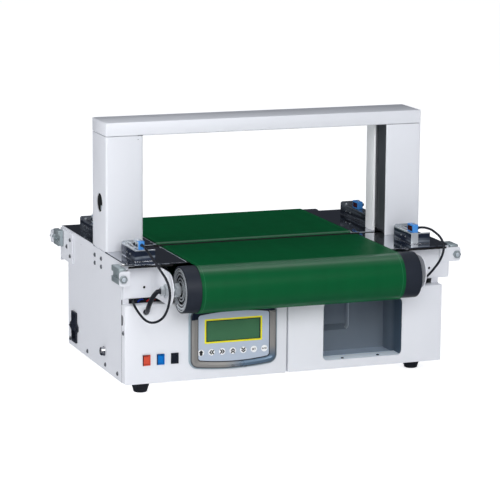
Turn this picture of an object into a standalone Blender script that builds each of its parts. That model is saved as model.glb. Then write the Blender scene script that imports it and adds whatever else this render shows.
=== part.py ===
"""Banknote strapping machine: a low sheet-metal cabinet with a keypad, two green
conveyor belts over rubber-lagged drums, and a strapping arch across the gap
between the belts.

Sizes are in metres. Pieces are placed from the cabinet's corner: x from the left
side plane, y back from the front covers' face, z up from the cabinet's underside.
The corner itself is set so that the machine stands centred on the world's origin.
"""

import math

import bmesh
import bpy
from mathutils import Matrix, Vector

# Fits, sheets and mesh fineness
GAP = 0.0003
CUT_PAST = 0.004
LAP = 0.0012
SHEET = 0.002
COVER_SHEET = 0.0015
BEND = 0.003
SHARP_DEGREES = 35.0
CORNER_STEPS = 4
BEND_STEPS = 3
ROUND_STEPS = 16
DRUM_STEPS = 32

# Lower cabinet
BODY_WIDTH = 0.619
BODY_DEPTH = 0.358
COVER_DEPTH = 0.020
COVER_EDGE = 0.0022
SEAM_WIDTH = 0.0025
CORNER_FLANGE = 0.0136
CHASSIS_LIP = 0.009
NOTCH_RADIUS = 0.010
NOTCH_DROP = 0.029
CABLE_HOLE_PLACE = 0.040
CABLE_HOLE_DROP = 0.013
CABLE_HOLE_RADIUS = 0.0058
FOOT_HEIGHT = 0.024
FOOT_TOP_RADIUS = 0.020
FOOT_BOTTOM_RADIUS = 0.0125
FOOT_EDGE = 0.002
FOOT_LEFT_INSET = 0.043
FOOT_RIGHT_INSET = 0.034
FOOT_FRONT_INSET = 0.045
FOOT_RIGHT_FRONT_INSET = 0.061
FOOT_REAR_INSET = 0.038

# Rear wall vents
VENT_COUNT = 7
VENT_PITCH = 0.010
VENT_WIDTH = 0.004
VENT_ROOM_BELOW = 0.055
VENT_ROOM_ABOVE = 0.030
VENT_FIELDS_SHARE = (0.25, 0.75)

# Window and bay
WINDOW_SEAM_ROOM_SHARE = 0.22526
WINDOW_WIDTH_SHARE = 0.51107
WINDOW_BOTTOM = 0.017
WINDOW_TOP_ROOM = 0.020
WINDOW_CORNER = 0.0085
BAY_DEPTH = 0.088
BAY_MARGIN = 0.0015
BAY_LEDGE_DEPTH = 0.038
BAY_LEDGE_HEIGHT = 0.0035
POCKET_WIDTH_SHARE = 0.55
POCKET_LOW_SHARE = 0.344
POCKET_DEPTH = 0.012
POCKET_CORNER = 0.008

# Rocker switches
SWITCH_WIDTH = 0.0143
SWITCH_HEIGHT = 0.0197
SWITCH_FLANGE = 0.0016
SWITCH_BODY_DEPTH = 0.014
SWITCH_WALL = 0.0011
SWITCH_INSET = 0.0009
SWITCH_FIRST = 0.0402
SWITCH_PITCH = 0.0265
SWITCH_BOTTOM = 0.034
ROCKER_TILT_DEGREES = 8.0
ROCKER_STAND = 0.0022
ROCKER_DEPTH = 0.0050

# Keypad
BEZEL_CENTRE = 0.204
BEZEL_WIDTH = 0.169
BEZEL_BOTTOM = 0.023
BEZEL_TOP_ROOM = 0.013
BEZEL_SEAM_ROOM = 0.0208
BEZEL_BULGE = 0.006
BEZEL_CORNER = 0.017
BEZEL_STAND = 0.008
BEZEL_CHAMFER = 0.0028
BEZEL_SIDE_BAND = 0.0152
BEZEL_LOWER_BAND = 0.0132
BEZEL_UPPER_BAND = 0.0113
MEMBRANE_BULGE = 0.0052
MEMBRANE_CORNER = 0.006
MEMBRANE_STAND = 0.0062
MEMBRANE_SHEET = 0.002
KEYPAD_CUT_MARGIN = 0.008
DISPLAY_LEFT = 0.0162
DISPLAY_RIGHT = 0.0177
DISPLAY_BOTTOM = 0.0338
DISPLAY_ABOVE = 0.0115
DISPLAY_CORNER = 0.0008
KEY_COUNT = 7
KEYS_MARGIN = 0.0168
KEY_RADIUS = 0.005
KEY_HEIGHT = 0.0147
KEYS_ASIDE = 0.0019
KEY_PROUD = 0.0006

# Power inlet and signal socket in the left side
INLET_FROM_REAR = 0.044
INLET_RISE = 0.041
INLET_WIDTH = 0.031
INLET_HEIGHT = 0.059
INLET_EARS = 0.049
INLET_EAR_HEIGHT = 0.018
INLET_FLANGE = 0.003
INLET_DEPTH = 0.026
INLET_FRAME = 0.003
INLET_CORNER = 0.0025
INLET_SOCKET_SIZE = (0.0238, 0.0168)
INLET_SOCKET_RISE = -0.0155
INLET_SOCKET_DEPTH = 0.016
INLET_ROCKER_SIZE = (0.0226, 0.0130)
INLET_ROCKER_RISE = 0.0165
INLET_WELL_DEPTH = 0.009
CONTACT_SIZE = (0.002, 0.005)
CONTACT_LENGTH = 0.010
CONTACT_SPREAD = 0.007
CONTACT_RISE = 0.003
PLUG_CENTRE = (0.121, 0.037)
PLUG_RADIUS = 0.009
PLUG_THREAD_RADIUS = 0.0078
PLUG_STAND = 0.0085
PLUG_COLLAR = 0.0025
PLUG_BORE_RADIUS = 0.0062
PLUG_BORE_DEPTH = 0.005
PLUG_BACK = 0.014

# Upper frame
FRAME_OVERHANG = 0.0225
REAR_OVERHANG = 0.0435
DECK_SHEET = 0.002
FRAME_LEDGE = 0.036
FRAME_SHELF_RISE = 0.0305
DECK_OVERHANG = 0.007
UPSTAND_INSET = 0.001

# Shoulders, one at each corner
SHOULDER_BELOW = 0.0255
SHOULDER_ABOVE = 0.034
COVER_ROOM = 0.0095
STEP_RISE = 0.0035
FRONT_PLATE = 0.018
LEFT_CHEEK_INSET = 0.0615
RIGHT_CHEEK_INSET = 0.0935
CHEEK_SHEET = 0.002
CHEEK_BEND = 0.009
TIGHT_BEND = 0.0024
FLANGE_STEP = 0.0006
CHEEK_END_RADIUS = 0.030
FRONT_FLANGE = 0.045
REAR_FLANGE = 0.082
FRONT_FLANGE_REACH = (-0.017, 0.0275)
REAR_FLANGE_REACH = (-0.0195, 0.038)
PLATE_HOLE_RADIUS = 0.0025
PLATE_HOLE_INSET = 0.042
PLATE_HOLE_DROP = 0.0065
EAR_OUT = 0.015
EAR_LEFT_AHEAD = 0.033
EAR_REAR_AHEAD = 0.0232
FLUSH_EAR_OUT = 0.0200
FLUSH_EAR_INNER = 0.0195
FLUSH_EAR_AHEAD = 0.0035
EAR_RISE = 0.0045
EAR_HEIGHT = 0.0265
EAR_CORNER = 0.005

# Take-up blocks and their adjusting bolts
BLOCK_BOLT_COVER = 0.0055
BLOCK_RISE = 0.005
BLOCK_HEIGHT = 0.030
BLOCK_BACK = 0.020
BLOCK_EAR_ROOM = 0.006
BLOCK_LENGTH = 0.037
BLOCK_REAR_BACK = 0.0238
BLOCK_REAR_EAR_ROOM = 0.015
BLOCK_EDGE = 0.0015
BLOCK_GROOVE = 0.0035
BLOCK_GROOVE_HEIGHT = 0.009
BLOCK_BOSS_RADIUS = 0.0045
BLOCK_BOSS_STAND = 0.0012
BOLT_OUT = 0.008
FLUSH_BOLT_OUT = 0.0115
BOLT_RISE = 0.0175
BOLT_RADIUS = 0.004
BOLT_HEAD_FLATS = 0.013
BOLT_HEAD_HEIGHT = 0.0055

# Drums, axles, nose rollers and belts
FRONT_AXIS = -0.054
REAR_AXIS_BEHIND = 0.0165
AXIS_HEIGHT = 0.180
DRUM_RADIUS = 0.042
DRUM_SIDE_ROOM = 0.0845
DRUM_RING_RADIUS = 0.0388
DRUM_RIM = 0.0008
DRUM_DISH = 0.0045
DRUM_GROOVE_RADII_SHARE = (0.84, 0.60)
DRUM_HUB_RADIUS = 0.0145
DRUM_HUB_DEPTH = 0.002
AXLE_RADIUS = 0.006
AXLE_END = 0.005
NUT_FLATS = 0.022
NUT_HEIGHT = 0.006
INNER_NUT_HEIGHT = 0.010
RIGHT_NUT_HEIGHT = 0.0075
GLAND_RADIUS = 0.0075
GLAND_HEIGHT = 0.007
NOSE_RADIUS = 0.008
NOSE_JOURNAL_RADIUS = 0.003
FRONT_NOSE = 0.132
REAR_NOSE = 0.170
LUG_SHEET = 0.0035
LUG_DROP = 0.020
LUG_WIDTH = 0.016
BELT_INSET = 0.0305
BELT_SHIFT = 0.003
BELT_SHEET = 0.0017
BELT_SIDE_ROOM = 0.004

# Decks and sensor brackets
DECK_FRONT = -0.018
DECK_CHAMFER = 0.015
GAP_FRONT = 0.143
GAP_REAR = 0.158
DECK_REAR_ROOM = 0.0015
DECK_LIP = 0.010
NOSE_ROOM = 0.0025
BRACKET_SHEET = 0.0015
BRACKET_LEFT = 0.022
BRACKET_RIGHT_INSET = 0.0835
BRACKET_FRONT = 0.010
BRACKET_FRONT_LENGTH = 0.080
BRACKET_REAR_INSET = 0.0495
BRACKET_POST_ROOM = 0.010
BRACKET_HEIGHT = 0.021
BRACKET_WING = 0.038
BRACKET_WING_RISE = 0.004
BRACKET_EAR_CORNER = 0.004
BRACKET_SHELF = 0.016
BRACKET_BEND = 0.002

# Photo sensors
SENSOR_SIZE = (0.011, 0.026, 0.015)
SENSOR_EDGE = 0.0012
SENSOR_LEFT_INSET = 0.007
SENSOR_RIGHT_INSET = 0.003
SENSOR_FRONT = 0.010
SENSOR_REAR_INSET = 0.1295
SENSOR_LENS_SHARES = (0.74, 0.52)
SENSOR_LENS_DEPTH = 0.0008
SENSOR_BOSS_RADIUS = 0.0030
SENSOR_BOSS_LENGTH = 0.004
SENSOR_BOSS_RISE = 0.0010
SENSOR_BOSS_INSET = 0.006

# Arch
ARCH_FRONT = 0.1114
ARCH_DEPTH = 0.086
ARCH_HEIGHT = 0.236
LEFT_POST_WIDTH = 0.0704
RIGHT_POST_WIDTH = 0.0700
BAR_HEIGHT = 0.0255
ARCH_WALL = 0.0025
ARCH_CORNER = 0.004
BAR_EDGE = 0.0025
STRAP_SLOT = 0.008
STRAP_SLOT_BACK = 0.0386
POST_HOLE_BACK = 0.0406
POST_HOLE_DROP = 0.125
POST_HOLE_RADIUS = 0.0175
POST_TONGUE_DROP = 0.042
POST_TONGUE_MARGIN = 0.008
GUIDE_DEPTH = 0.014
GUIDE_PAST_SLOT = 0.012
GUIDE_FLARE = 0.009
GUIDE_GROOVE = 0.004

# Sealing head below the strap gap
HEAD_WIDTH = 0.170
HEAD_DEPTH = 0.062
HEAD_BELOW_AXIS = 0.004
HEAD_EDGE = 0.003
ANVIL_WIDTH = 0.080
ANVIL_DEPTH = 0.009
ANVIL_ABOVE_AXIS = 0.022
FEED_WHEEL_RADIUS = 0.022
FEED_WHEEL_WIDTH = 0.010
FEED_WHEEL_DROP = 0.048
FEED_WHEEL_SPREAD = 0.050
HEAD_MOTOR_RADIUS = 0.029
HEAD_MOTOR_LENGTH = 0.085
HEAD_MOTOR_HEIGHT = 0.070

# Cables
SENSOR_CABLE_RADIUS = 0.0022
MOTOR_CABLE_RADIUS = 0.0042
CABLE_STEP_DIAMETERS_SHARE = 1.6
MOTOR_STEP_DIAMETERS_SHARE = 0.7
# Routes of the cables in millimetres, chosen by hand: inward from their own side, back from the
# cabinet's face, up from the drums' axis
MM = 0.001
LEFT_CABLE_ROUTE = (
    (34.5, 5.6, 71.8), (34.6, 1, 71.6), (35.4, -9, 69), (37, -22, 63.5), (39.5, -36, 56),
    (43, -50, 47), (47, -63, 37), (52, -75, 25), (54.5, -83, 13), (55, -87, 0), (54, -86, -13),
    (51, -84, -28), (46, -77, -42), (39, -67, -51), (32, -56, -55), (26, -46, -54), (21, -36, -49),
    (17, -26, -42), (15, -16, -36), (15, -6, -32), (17, 6, -30), (21, 20, -30), (25, 32, -31),
)
RIGHT_CABLE_ROUTE = (
    (65, 16, 71.8), (57.5, 15.8, 71.8), (51.5, 10.5, 71), (47, 2, 69.5), (43.5, -7, 66), (39.5, -16, 61),
    (36.8, -24, 54), (36, -30, 45), (37.5, -33, 35), (41, -33, 24), (45.5, -30, 13), (50, -24, 3),
    (54.5, -17, -7), (58, -8, -16), (60, 1, -23), (61, 11, -28), (62, 22, -30), (62, 32, -31),
)
MOTOR_CABLE_ROUTE = (
    (46.5, -54, 0), (43.5, -54, 0), (40.5, -51, -4), (37, -44, -13), (35.5, -34, -25),
    (36, -23, -35.5), (38, -13, -43.5), (39.6, -4, -47.4), (40, 5, -48),
)

# Worked out from the sizes above
FRAME_WIDTH = BODY_WIDTH + FRAME_OVERHANG
DECK_RIGHT = BODY_WIDTH + DECK_OVERHANG
UPPER_REAR = BODY_DEPTH + REAR_OVERHANG
REAR_AXIS = UPPER_REAR + REAR_AXIS_BEHIND
MIDDLE_X = (FRAME_WIDTH + FLUSH_EAR_OUT - EAR_OUT) / 2
MIDDLE_Y = (FRONT_AXIS + REAR_AXIS) / 2
CORNER = Vector((-MIDDLE_X, -MIDDLE_Y, FOOT_HEIGHT))
SHOULDER_BOTTOM = AXIS_HEIGHT - SHOULDER_BELOW
SHOULDER_TOP = AXIS_HEIGHT + SHOULDER_ABOVE
COVER_HEIGHT = SHOULDER_BOTTOM - COVER_ROOM
STEP_HEIGHT = SHOULDER_BOTTOM + STEP_RISE
FRONT_FLANGE_SPAN = tuple(AXIS_HEIGHT + reach for reach in FRONT_FLANGE_REACH)
REAR_FLANGE_SPAN = tuple(AXIS_HEIGHT + reach for reach in REAR_FLANGE_REACH)
PLATE_HOLE_HEIGHT = AXIS_HEIGHT - PLATE_HOLE_DROP
EAR_BOTTOM = AXIS_HEIGHT + EAR_RISE
BLOCK_BOTTOM = AXIS_HEIGHT + BLOCK_RISE
BOLT_HEIGHT = AXIS_HEIGHT + BOLT_RISE
COVER_SEAM = BEZEL_CENTRE + BEZEL_WIDTH / 2 + BEZEL_SEAM_ROOM
NOTCH_HEIGHT = COVER_HEIGHT - NOTCH_DROP
CABLE_HOLE = (CABLE_HOLE_PLACE, COVER_HEIGHT - CABLE_HOLE_DROP)
VENT_LENGTH = COVER_HEIGHT - VENT_ROOM_BELOW - VENT_ROOM_ABOVE
RIGHT_COVER_WIDTH = BODY_WIDTH - COVER_SEAM - SEAM_WIDTH
WINDOW_LEFT = COVER_SEAM + SEAM_WIDTH + RIGHT_COVER_WIDTH * WINDOW_SEAM_ROOM_SHARE
WINDOW_WIDTH = RIGHT_COVER_WIDTH * WINDOW_WIDTH_SHARE
WINDOW_HEIGHT = COVER_HEIGHT - WINDOW_TOP_ROOM - WINDOW_BOTTOM
BEZEL_HEIGHT = COVER_HEIGHT - BEZEL_TOP_ROOM - BEZEL_BOTTOM
MEMBRANE_WIDTH = BEZEL_WIDTH - 2 * BEZEL_SIDE_BAND
MEMBRANE_BOTTOM = BEZEL_BOTTOM + BEZEL_LOWER_BAND
MEMBRANE_HEIGHT = BEZEL_HEIGHT - BEZEL_LOWER_BAND - BEZEL_UPPER_BAND
DISPLAY_WIDTH = MEMBRANE_WIDTH - DISPLAY_LEFT - DISPLAY_RIGHT
DISPLAY_HEIGHT = MEMBRANE_HEIGHT - DISPLAY_BOTTOM - DISPLAY_ABOVE
KEY_PITCH = (MEMBRANE_WIDTH - KEYS_MARGIN) / (KEY_COUNT - 1)
INLET_CENTRE = (BODY_DEPTH - INLET_FROM_REAR, INLET_RISE)
DRUM_LENGTH = BODY_WIDTH - 2 * DRUM_SIDE_ROOM
BELT_WIDTH = DRUM_LENGTH - 2 * BELT_INSET
DECK_REAR = UPPER_REAR - DECK_REAR_ROOM
BRACKET_RIGHT = FRAME_WIDTH - BRACKET_RIGHT_INSET
BRACKET_REAR = UPPER_REAR - BRACKET_REAR_INSET
ARCH_WIDTH = BODY_WIDTH
STRAP_SLOT_FRONT = ARCH_FRONT + STRAP_SLOT_BACK
HEAD_LEFT = BODY_WIDTH / 2 - HEAD_WIDTH / 2
HEAD_HEIGHT = AXIS_HEIGHT - HEAD_BELOW_AXIS
ANVIL_HEIGHT = AXIS_HEIGHT + ANVIL_ABOVE_AXIS
FEED_WHEEL_HEIGHT = HEAD_HEIGHT - FEED_WHEEL_DROP
SIDE_FRONT = COVER_DEPTH + GAP
BELT_UNDER = AXIS_HEIGHT + DRUM_RADIUS + GAP
BELT_OUTER_RADIUS = DRUM_RADIUS + GAP + BELT_SHEET
DECK_TOP = BELT_UNDER - GAP
DECK_UNDER = DECK_TOP - DECK_SHEET
SIDE_TOP = DECK_UNDER - GAP
ARCH_TOP = DECK_TOP + ARCH_HEIGHT
ARCH_REAR = ARCH_FRONT + ARCH_DEPTH
POST_FOOT = DECK_TOP + GAP
BAR_BOTTOM = ARCH_TOP - BAR_HEIGHT
POST_TOP = BAR_BOTTOM - GAP
POST_HOLE = (ARCH_FRONT + POST_HOLE_BACK, BAR_BOTTOM - POST_HOLE_DROP)
BELT_LEFT = (BODY_WIDTH - BELT_WIDTH) / 2 - BELT_SHIFT
BELT_RIGHT = BELT_LEFT + BELT_WIDTH
NOSE_HEIGHT = BELT_UNDER - GAP - NOSE_RADIUS
DRUM_LEFT = BODY_WIDTH / 2 - DRUM_LENGTH / 2
DRUM_RIGHT = DRUM_LEFT + DRUM_LENGTH
RIGHT_SIDE = BODY_WIDTH - SHEET
LEFT_CHEEK = LEFT_CHEEK_INSET
RIGHT_CHEEK = FRAME_WIDTH - RIGHT_CHEEK_INSET
BRACKET_TOP = DECK_TOP + BRACKET_HEIGHT
REAR_PLATE = UPPER_REAR + GAP + CHEEK_SHEET

WHITE = ((0.78, 0.79, 0.83), 0.42, 0.0)
STEEL = ((0.62, 0.64, 0.67), 0.16, 1.0)
ZINC = ((0.50, 0.54, 0.55), 0.45, 0.8)
RUBBER = ((0.030, 0.038, 0.055), 0.70, 0.0)
BELT_GREEN = ((0.010, 0.130, 0.060), 0.40, 0.0)
BLACK = ((0.012, 0.012, 0.014), 0.45, 0.0)
GREY = ((0.30, 0.33, 0.37), 0.40, 0.0)
MEMBRANE_BLUE = ((0.42, 0.47, 0.62), 0.45, 0.0)
DISPLAY_GREEN = ((0.045, 0.130, 0.065), 0.15, 0.0)
KEY_WHITE = ((0.85, 0.86, 0.88), 0.50, 0.0)
RED = ((0.75, 0.075, 0.030), 0.35, 0.0)
BLUE = ((0.0, 0.155, 0.51), 0.35, 0.0)
SENSOR_BLUE = ((0.03, 0.26, 0.70), 0.35, 0.0)
GUIDE_GREY = ((0.060, 0.064, 0.072), 0.50, 0.0)
CHROME = ((0.70, 0.70, 0.70), 0.12, 1.0)

PLANES = {
    "XY": (Vector((1, 0, 0)), Vector((0, 1, 0)), Vector((0, 0, 1))),
    "YZ": (Vector((0, 1, 0)), Vector((0, 0, 1)), Vector((1, 0, 0))),
    "XZ": (Vector((1, 0, 0)), Vector((0, 0, 1)), Vector((0, -1, 0))),
}
TURNS = {
    "X": (0.0, math.pi / 2, 0.0),
    "Y": (-math.pi / 2, 0.0, 0.0),
    "Z": (0.0, 0.0, 0.0),
}


def start_scene():
    """Clears the scene and makes the two collections and the corner that carries the pieces."""
    for old in list(bpy.data.objects):
        bpy.data.objects.remove(old, do_unlink=True)
    made = {}
    for name in ("strapping_machine", "cutters"):
        made[name] = bpy.data.collections.new(name)
        bpy.context.scene.collection.children.link(made[name])
    made["cutters"].hide_render = True
    corner = bpy.data.objects.new("cabinet_corner", None)
    corner.location = CORNER
    made["strapping_machine"].objects.link(corner)
    return made["strapping_machine"], made["cutters"], corner


PARTS, CUTTERS, CABINET_CORNER = start_scene()


def add_object(name, mesh, finish=None):
    """An object on the cabinet's corner; one without a finish is a cutter or a shape to join."""
    thing = bpy.data.objects.new(name, mesh)
    thing.parent = CABINET_CORNER
    if finish is None:
        CUTTERS.objects.link(thing)
        thing.hide_render = True
        thing.display_type = "WIRE"
        return thing
    PARTS.objects.link(thing)
    colour, roughness, metallic = finish
    material = bpy.data.materials.new(name + "_finish")
    material.use_nodes = True
    shader = material.node_tree.nodes["Principled BSDF"]
    shader.inputs["Base Color"].default_value = (*colour, 1.0)
    shader.inputs["Roughness"].default_value = roughness
    shader.inputs["Metallic"].default_value = metallic
    mesh.materials.append(material)
    return thing


def mesh_from(shape, name):
    mesh = bpy.data.meshes.new(name)
    shape.to_mesh(mesh)
    shape.free()
    return mesh


def box(name, low, high, finish=None, edge=0.0):
    """A block between two corners, its edges rounded by the given radius."""
    low = Vector(low)
    high = Vector(high)
    shape = bmesh.new()
    bmesh.ops.create_cube(shape, size=1.0)
    bmesh.ops.scale(shape, vec=high - low, verts=shape.verts)
    thing = add_object(name, mesh_from(shape, name), finish)
    thing.location = (low + high) / 2
    if edge:
        bevel = thing.modifiers.new("rounded_edges", "BEVEL")
        bevel.width = edge
        bevel.segments = 2
        bevel.limit_method = "ANGLE"
    return thing


def rod(name, low, high, radius, axis, finish=None, steps=ROUND_STEPS, flats=False):
    """A round bar, or a hexagonal one whose flats lie at the radius, along an axis from low to high."""
    start = Vector(low)
    end = Vector(high)
    sides = 6 if flats else steps
    reach = radius / math.cos(math.pi / sides) if flats else radius
    shape = bmesh.new()
    bmesh.ops.create_cone(
        shape, cap_ends=True, segments=sides, radius1=reach, radius2=reach, depth=(end - start).length
    )
    if flats:
        bmesh.ops.rotate(shape, verts=shape.verts, matrix=Matrix.Rotation(math.pi / sides, 3, "Z"))
    thing = add_object(name, mesh_from(shape, name), finish)
    thing.location = (start + end) / 2
    thing.rotation_euler = TURNS[axis]
    return thing


def along(axis, place, start, end):
    """The two end points of a bar through a place, between two values on its axis."""
    index = "XYZ".index(axis)
    ends = []
    for value in (start, end):
        point = list(place)
        point[index] = value
        ends.append(point)
    return ends


def turned(name, profile, centre, axis, finish=None, steps=ROUND_STEPS, closed=False):
    """A solid of revolution. The profile holds (radius, place along the axis) down its outer side."""
    shape = bmesh.new()
    points = [shape.verts.new((radius, 0.0, height)) for radius, height in profile]
    for start, end in zip(points, points[1:]):
        shape.edges.new((start, end))
    if closed:
        shape.edges.new((points[-1], points[0]))
    thing = add_object(name, mesh_from(shape, name), finish)
    screw = thing.modifiers.new("turned", "SCREW")
    screw.steps = steps
    screw.render_steps = steps
    screw.use_merge_vertices = True
    screw.merge_threshold = 0.00001
    screw.use_smooth_shade = True
    thing.location = centre
    thing.rotation_euler = TURNS[axis]
    return thing


def arc_at(before, here, after, radius, steps):
    """Points of the arc that rounds a corner."""
    to_before = (before - here).normalized()
    to_after = (after - here).normalized()
    half = to_before.angle(to_after) / 2
    reach = radius / math.tan(half)
    centre = here + (to_before + to_after).normalized() * (radius / math.sin(half))
    first = here + to_before * reach - centre
    last = here + to_after * reach - centre
    start = math.atan2(first.y, first.x)
    sweep = (math.atan2(last.y, last.x) - start + math.pi) % (2 * math.pi) - math.pi
    return [
        centre + Vector((math.cos(start + sweep * k / steps), math.sin(start + sweep * k / steps))) * radius
        for k in range(steps + 1)
    ]


def rounded(corners, radius=0.0, steps=CORNER_STEPS, closed=True):
    """An outline through corners (u, v) or (u, v, own radius), each rounded."""
    points = []
    count = len(corners)
    for i, corner in enumerate(corners):
        here = Vector(corner[:2])
        own = corner[2] if len(corner) > 2 else radius
        at_end = not closed and i in (0, count - 1)
        if at_end or not own:
            points.append(here)
            continue
        before = Vector(corners[i - 1][:2])
        after = Vector(corners[(i + 1) % count][:2])
        points += arc_at(before, here, after, own, steps)
    return points


def rectangle(left, bottom, width, height, corner=0.0):
    right = left + width
    top = bottom + height
    return rounded([(left, bottom), (right, bottom), (right, top), (left, top)], corner)


def circle(centre, radius, steps=ROUND_STEPS):
    return [
        Vector(centre) + Vector((math.cos(turn), math.sin(turn))) * radius
        for turn in (2 * math.pi * k / steps for k in range(steps))
    ]


def barrel(centre, bottom, width, height, bulge, corner, steps=6):
    """A rectangle whose long edges bow outwards, with rounded corners."""
    left = centre - width / 2
    straight = width - 2 * corner
    bowed = []
    for k in range(steps + 1):
        u = -straight / 2 + straight * k / steps
        bowed.append((centre + u, bulge * (1 - (2 * u / width) ** 2)))
    corners = [(left, bottom, corner)]
    corners += [(u, bottom - rise, 0.0) for u, rise in bowed[1:-1]]
    corners += [(left + width, bottom, corner), (left + width, bottom + height, corner)]
    corners += [(u, bottom + height + rise, 0.0) for u, rise in reversed(bowed[1:-1])]
    corners += [(left, bottom + height, corner)]
    return rounded(corners)


def placed(mesh, plane, low, thickness):
    """Turns a mesh drawn in (u, v) with its thickness centred on w into its plane, w from low."""
    u, v, w = PLANES[plane]
    middle = low + thickness / 2
    turn = Matrix((u, v, w)).transposed().to_4x4()
    offset = Matrix.Translation(w * (middle if plane != "XZ" else -middle))
    mesh.transform(offset @ turn)


def plate(name, loops, low, thickness, plane, finish=None):
    """A flat outline with its holes, filled and given a thickness from low along the plane's normal."""
    curve = bpy.data.curves.new(name, "CURVE")
    curve.dimensions = "2D"
    curve.fill_mode = "BOTH"
    curve.extrude = thickness / 2
    for loop in loops:
        spline = curve.splines.new("POLY")
        spline.points.add(len(loop) - 1)
        spline.use_cyclic_u = True
        for point, (u, v) in zip(spline.points, loop):
            point.co = (u, v, 0.0, 1.0)
    drawn = bpy.data.objects.new(name + "_outline", curve)
    bpy.context.scene.collection.objects.link(drawn)
    graph = bpy.context.evaluated_depsgraph_get()
    mesh = bpy.data.meshes.new_from_object(drawn.evaluated_get(graph), depsgraph=graph)
    bpy.data.objects.remove(drawn, do_unlink=True)
    shape = bmesh.new()
    shape.from_mesh(mesh)
    bmesh.ops.remove_doubles(shape, verts=shape.verts, dist=0.000005)
    bmesh.ops.recalc_face_normals(shape, faces=shape.faces)
    shape.to_mesh(mesh)
    shape.free()
    mesh.name = name
    placed(mesh, plane, low, thickness)
    return add_object(name, mesh, finish)


def folded(name, path, low, high, thickness, plane, bend, finish=None):
    """A folded sheet: a path with rounded bends, drawn out from low to high, its wall to the path's left."""
    points = rounded(path, bend, BEND_STEPS, closed=False)
    u, v, w = PLANES[plane]
    sign = -1 if plane == "XZ" else 1
    ends = sorted((low * sign, high * sign))
    shape = bmesh.new()
    rows = [
        [shape.verts.new(u * point.x + v * point.y + w * end) for end in ends]
        for point in points
    ]
    for (a, b), (c, d) in zip(rows, rows[1:]):
        shape.faces.new((a, c, d, b))
    thing = add_object(name, mesh_from(shape, name), finish)
    wall = thing.modifiers.new("sheet", "SOLIDIFY")
    wall.thickness = thickness
    wall.offset = -1
    wall.use_even_offset = True
    return thing


def pan(name, low, high, wall, edge, finish):
    """A pan that is open at the back, with rounded front edges."""
    low = Vector(low)
    high = Vector(high)
    shape = bmesh.new()
    bmesh.ops.create_cube(shape, size=1.0)
    bmesh.ops.scale(shape, vec=high - low, verts=shape.verts)
    back = [face for face in shape.faces if face.normal.y > 0.5]
    bmesh.ops.delete(shape, geom=back, context="FACES_ONLY")
    folds = [side for side in shape.edges if not side.is_boundary]
    bmesh.ops.bevel(shape, geom=folds, offset=edge, segments=2, profile=0.5, affect="EDGES")
    thing = add_object(name, mesh_from(shape, name), finish)
    thing.location = (low + high) / 2
    sheet = thing.modifiers.new("sheet", "SOLIDIFY")
    sheet.thickness = wall
    sheet.offset = -1
    sheet.use_even_offset = True
    return thing


def boolean(target, other, operation):
    step = target.modifiers.new(other.name, "BOOLEAN")
    step.operation = operation
    step.solver = "EXACT"
    step.object = other


def cut(target, *others):
    for other in others:
        boolean(target, other, "DIFFERENCE")


def join(target, *others):
    for other in others:
        boolean(target, other, "UNION")


def shade(thing):
    """Smooth shading with sharp edges kept, for round pieces."""
    thing.data.shade_smooth()
    thing.data.set_sharp_from_angle(angle=math.radians(SHARP_DEGREES))


def make_chassis():
    """Floor and rear wall in one folded sheet between the side panels, with vents at the back."""
    left = SHEET + GAP
    right = RIGHT_SIDE - GAP
    lip_face = SIDE_FRONT + SHEET + GAP
    path = [(lip_face, CHASSIS_LIP), (lip_face, 0.0), (BODY_DEPTH, 0.0), (BODY_DEPTH, COVER_HEIGHT)]
    chassis = folded("base_chassis", path, left, right, SHEET, "YZ", BEND, WHITE)
    for field, share in enumerate(VENT_FIELDS_SHARE):
        middle = BODY_WIDTH * share
        for k in range(VENT_COUNT):
            x = middle + (k - (VENT_COUNT - 1) / 2) * VENT_PITCH
            slot = rectangle(x - VENT_WIDTH / 2, VENT_ROOM_BELOW, VENT_WIDTH, VENT_LENGTH)
            name = f"vent_cutter_{field + 1}_{k + 1}"
            start = BODY_DEPTH - SHEET - CUT_PAST
            cut(chassis, plate(name, [slot], start, SHEET + 2 * CUT_PAST, "XZ"))


def make_feet():
    corners = {
        "front_left_foot": (FOOT_LEFT_INSET, FOOT_FRONT_INSET),
        "front_right_foot": (BODY_WIDTH - FOOT_RIGHT_INSET, FOOT_RIGHT_FRONT_INSET),
        "rear_left_foot": (FOOT_LEFT_INSET, BODY_DEPTH - FOOT_REAR_INSET),
        "rear_right_foot": (BODY_WIDTH - FOOT_RIGHT_INSET, BODY_DEPTH - FOOT_REAR_INSET),
    }
    profile = [
        (0.0, -GAP),
        (FOOT_TOP_RADIUS, -GAP),
        (FOOT_TOP_RADIUS, -GAP - FOOT_EDGE),
        (FOOT_BOTTOM_RADIUS + FOOT_EDGE, -FOOT_HEIGHT + FOOT_EDGE),
        (FOOT_BOTTOM_RADIUS, -FOOT_HEIGHT),
        (0.0, -FOOT_HEIGHT),
    ]
    for name, (x, y) in corners.items():
        shade(turned(name, profile, (x, y, 0.0), "Z", RUBBER))


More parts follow.
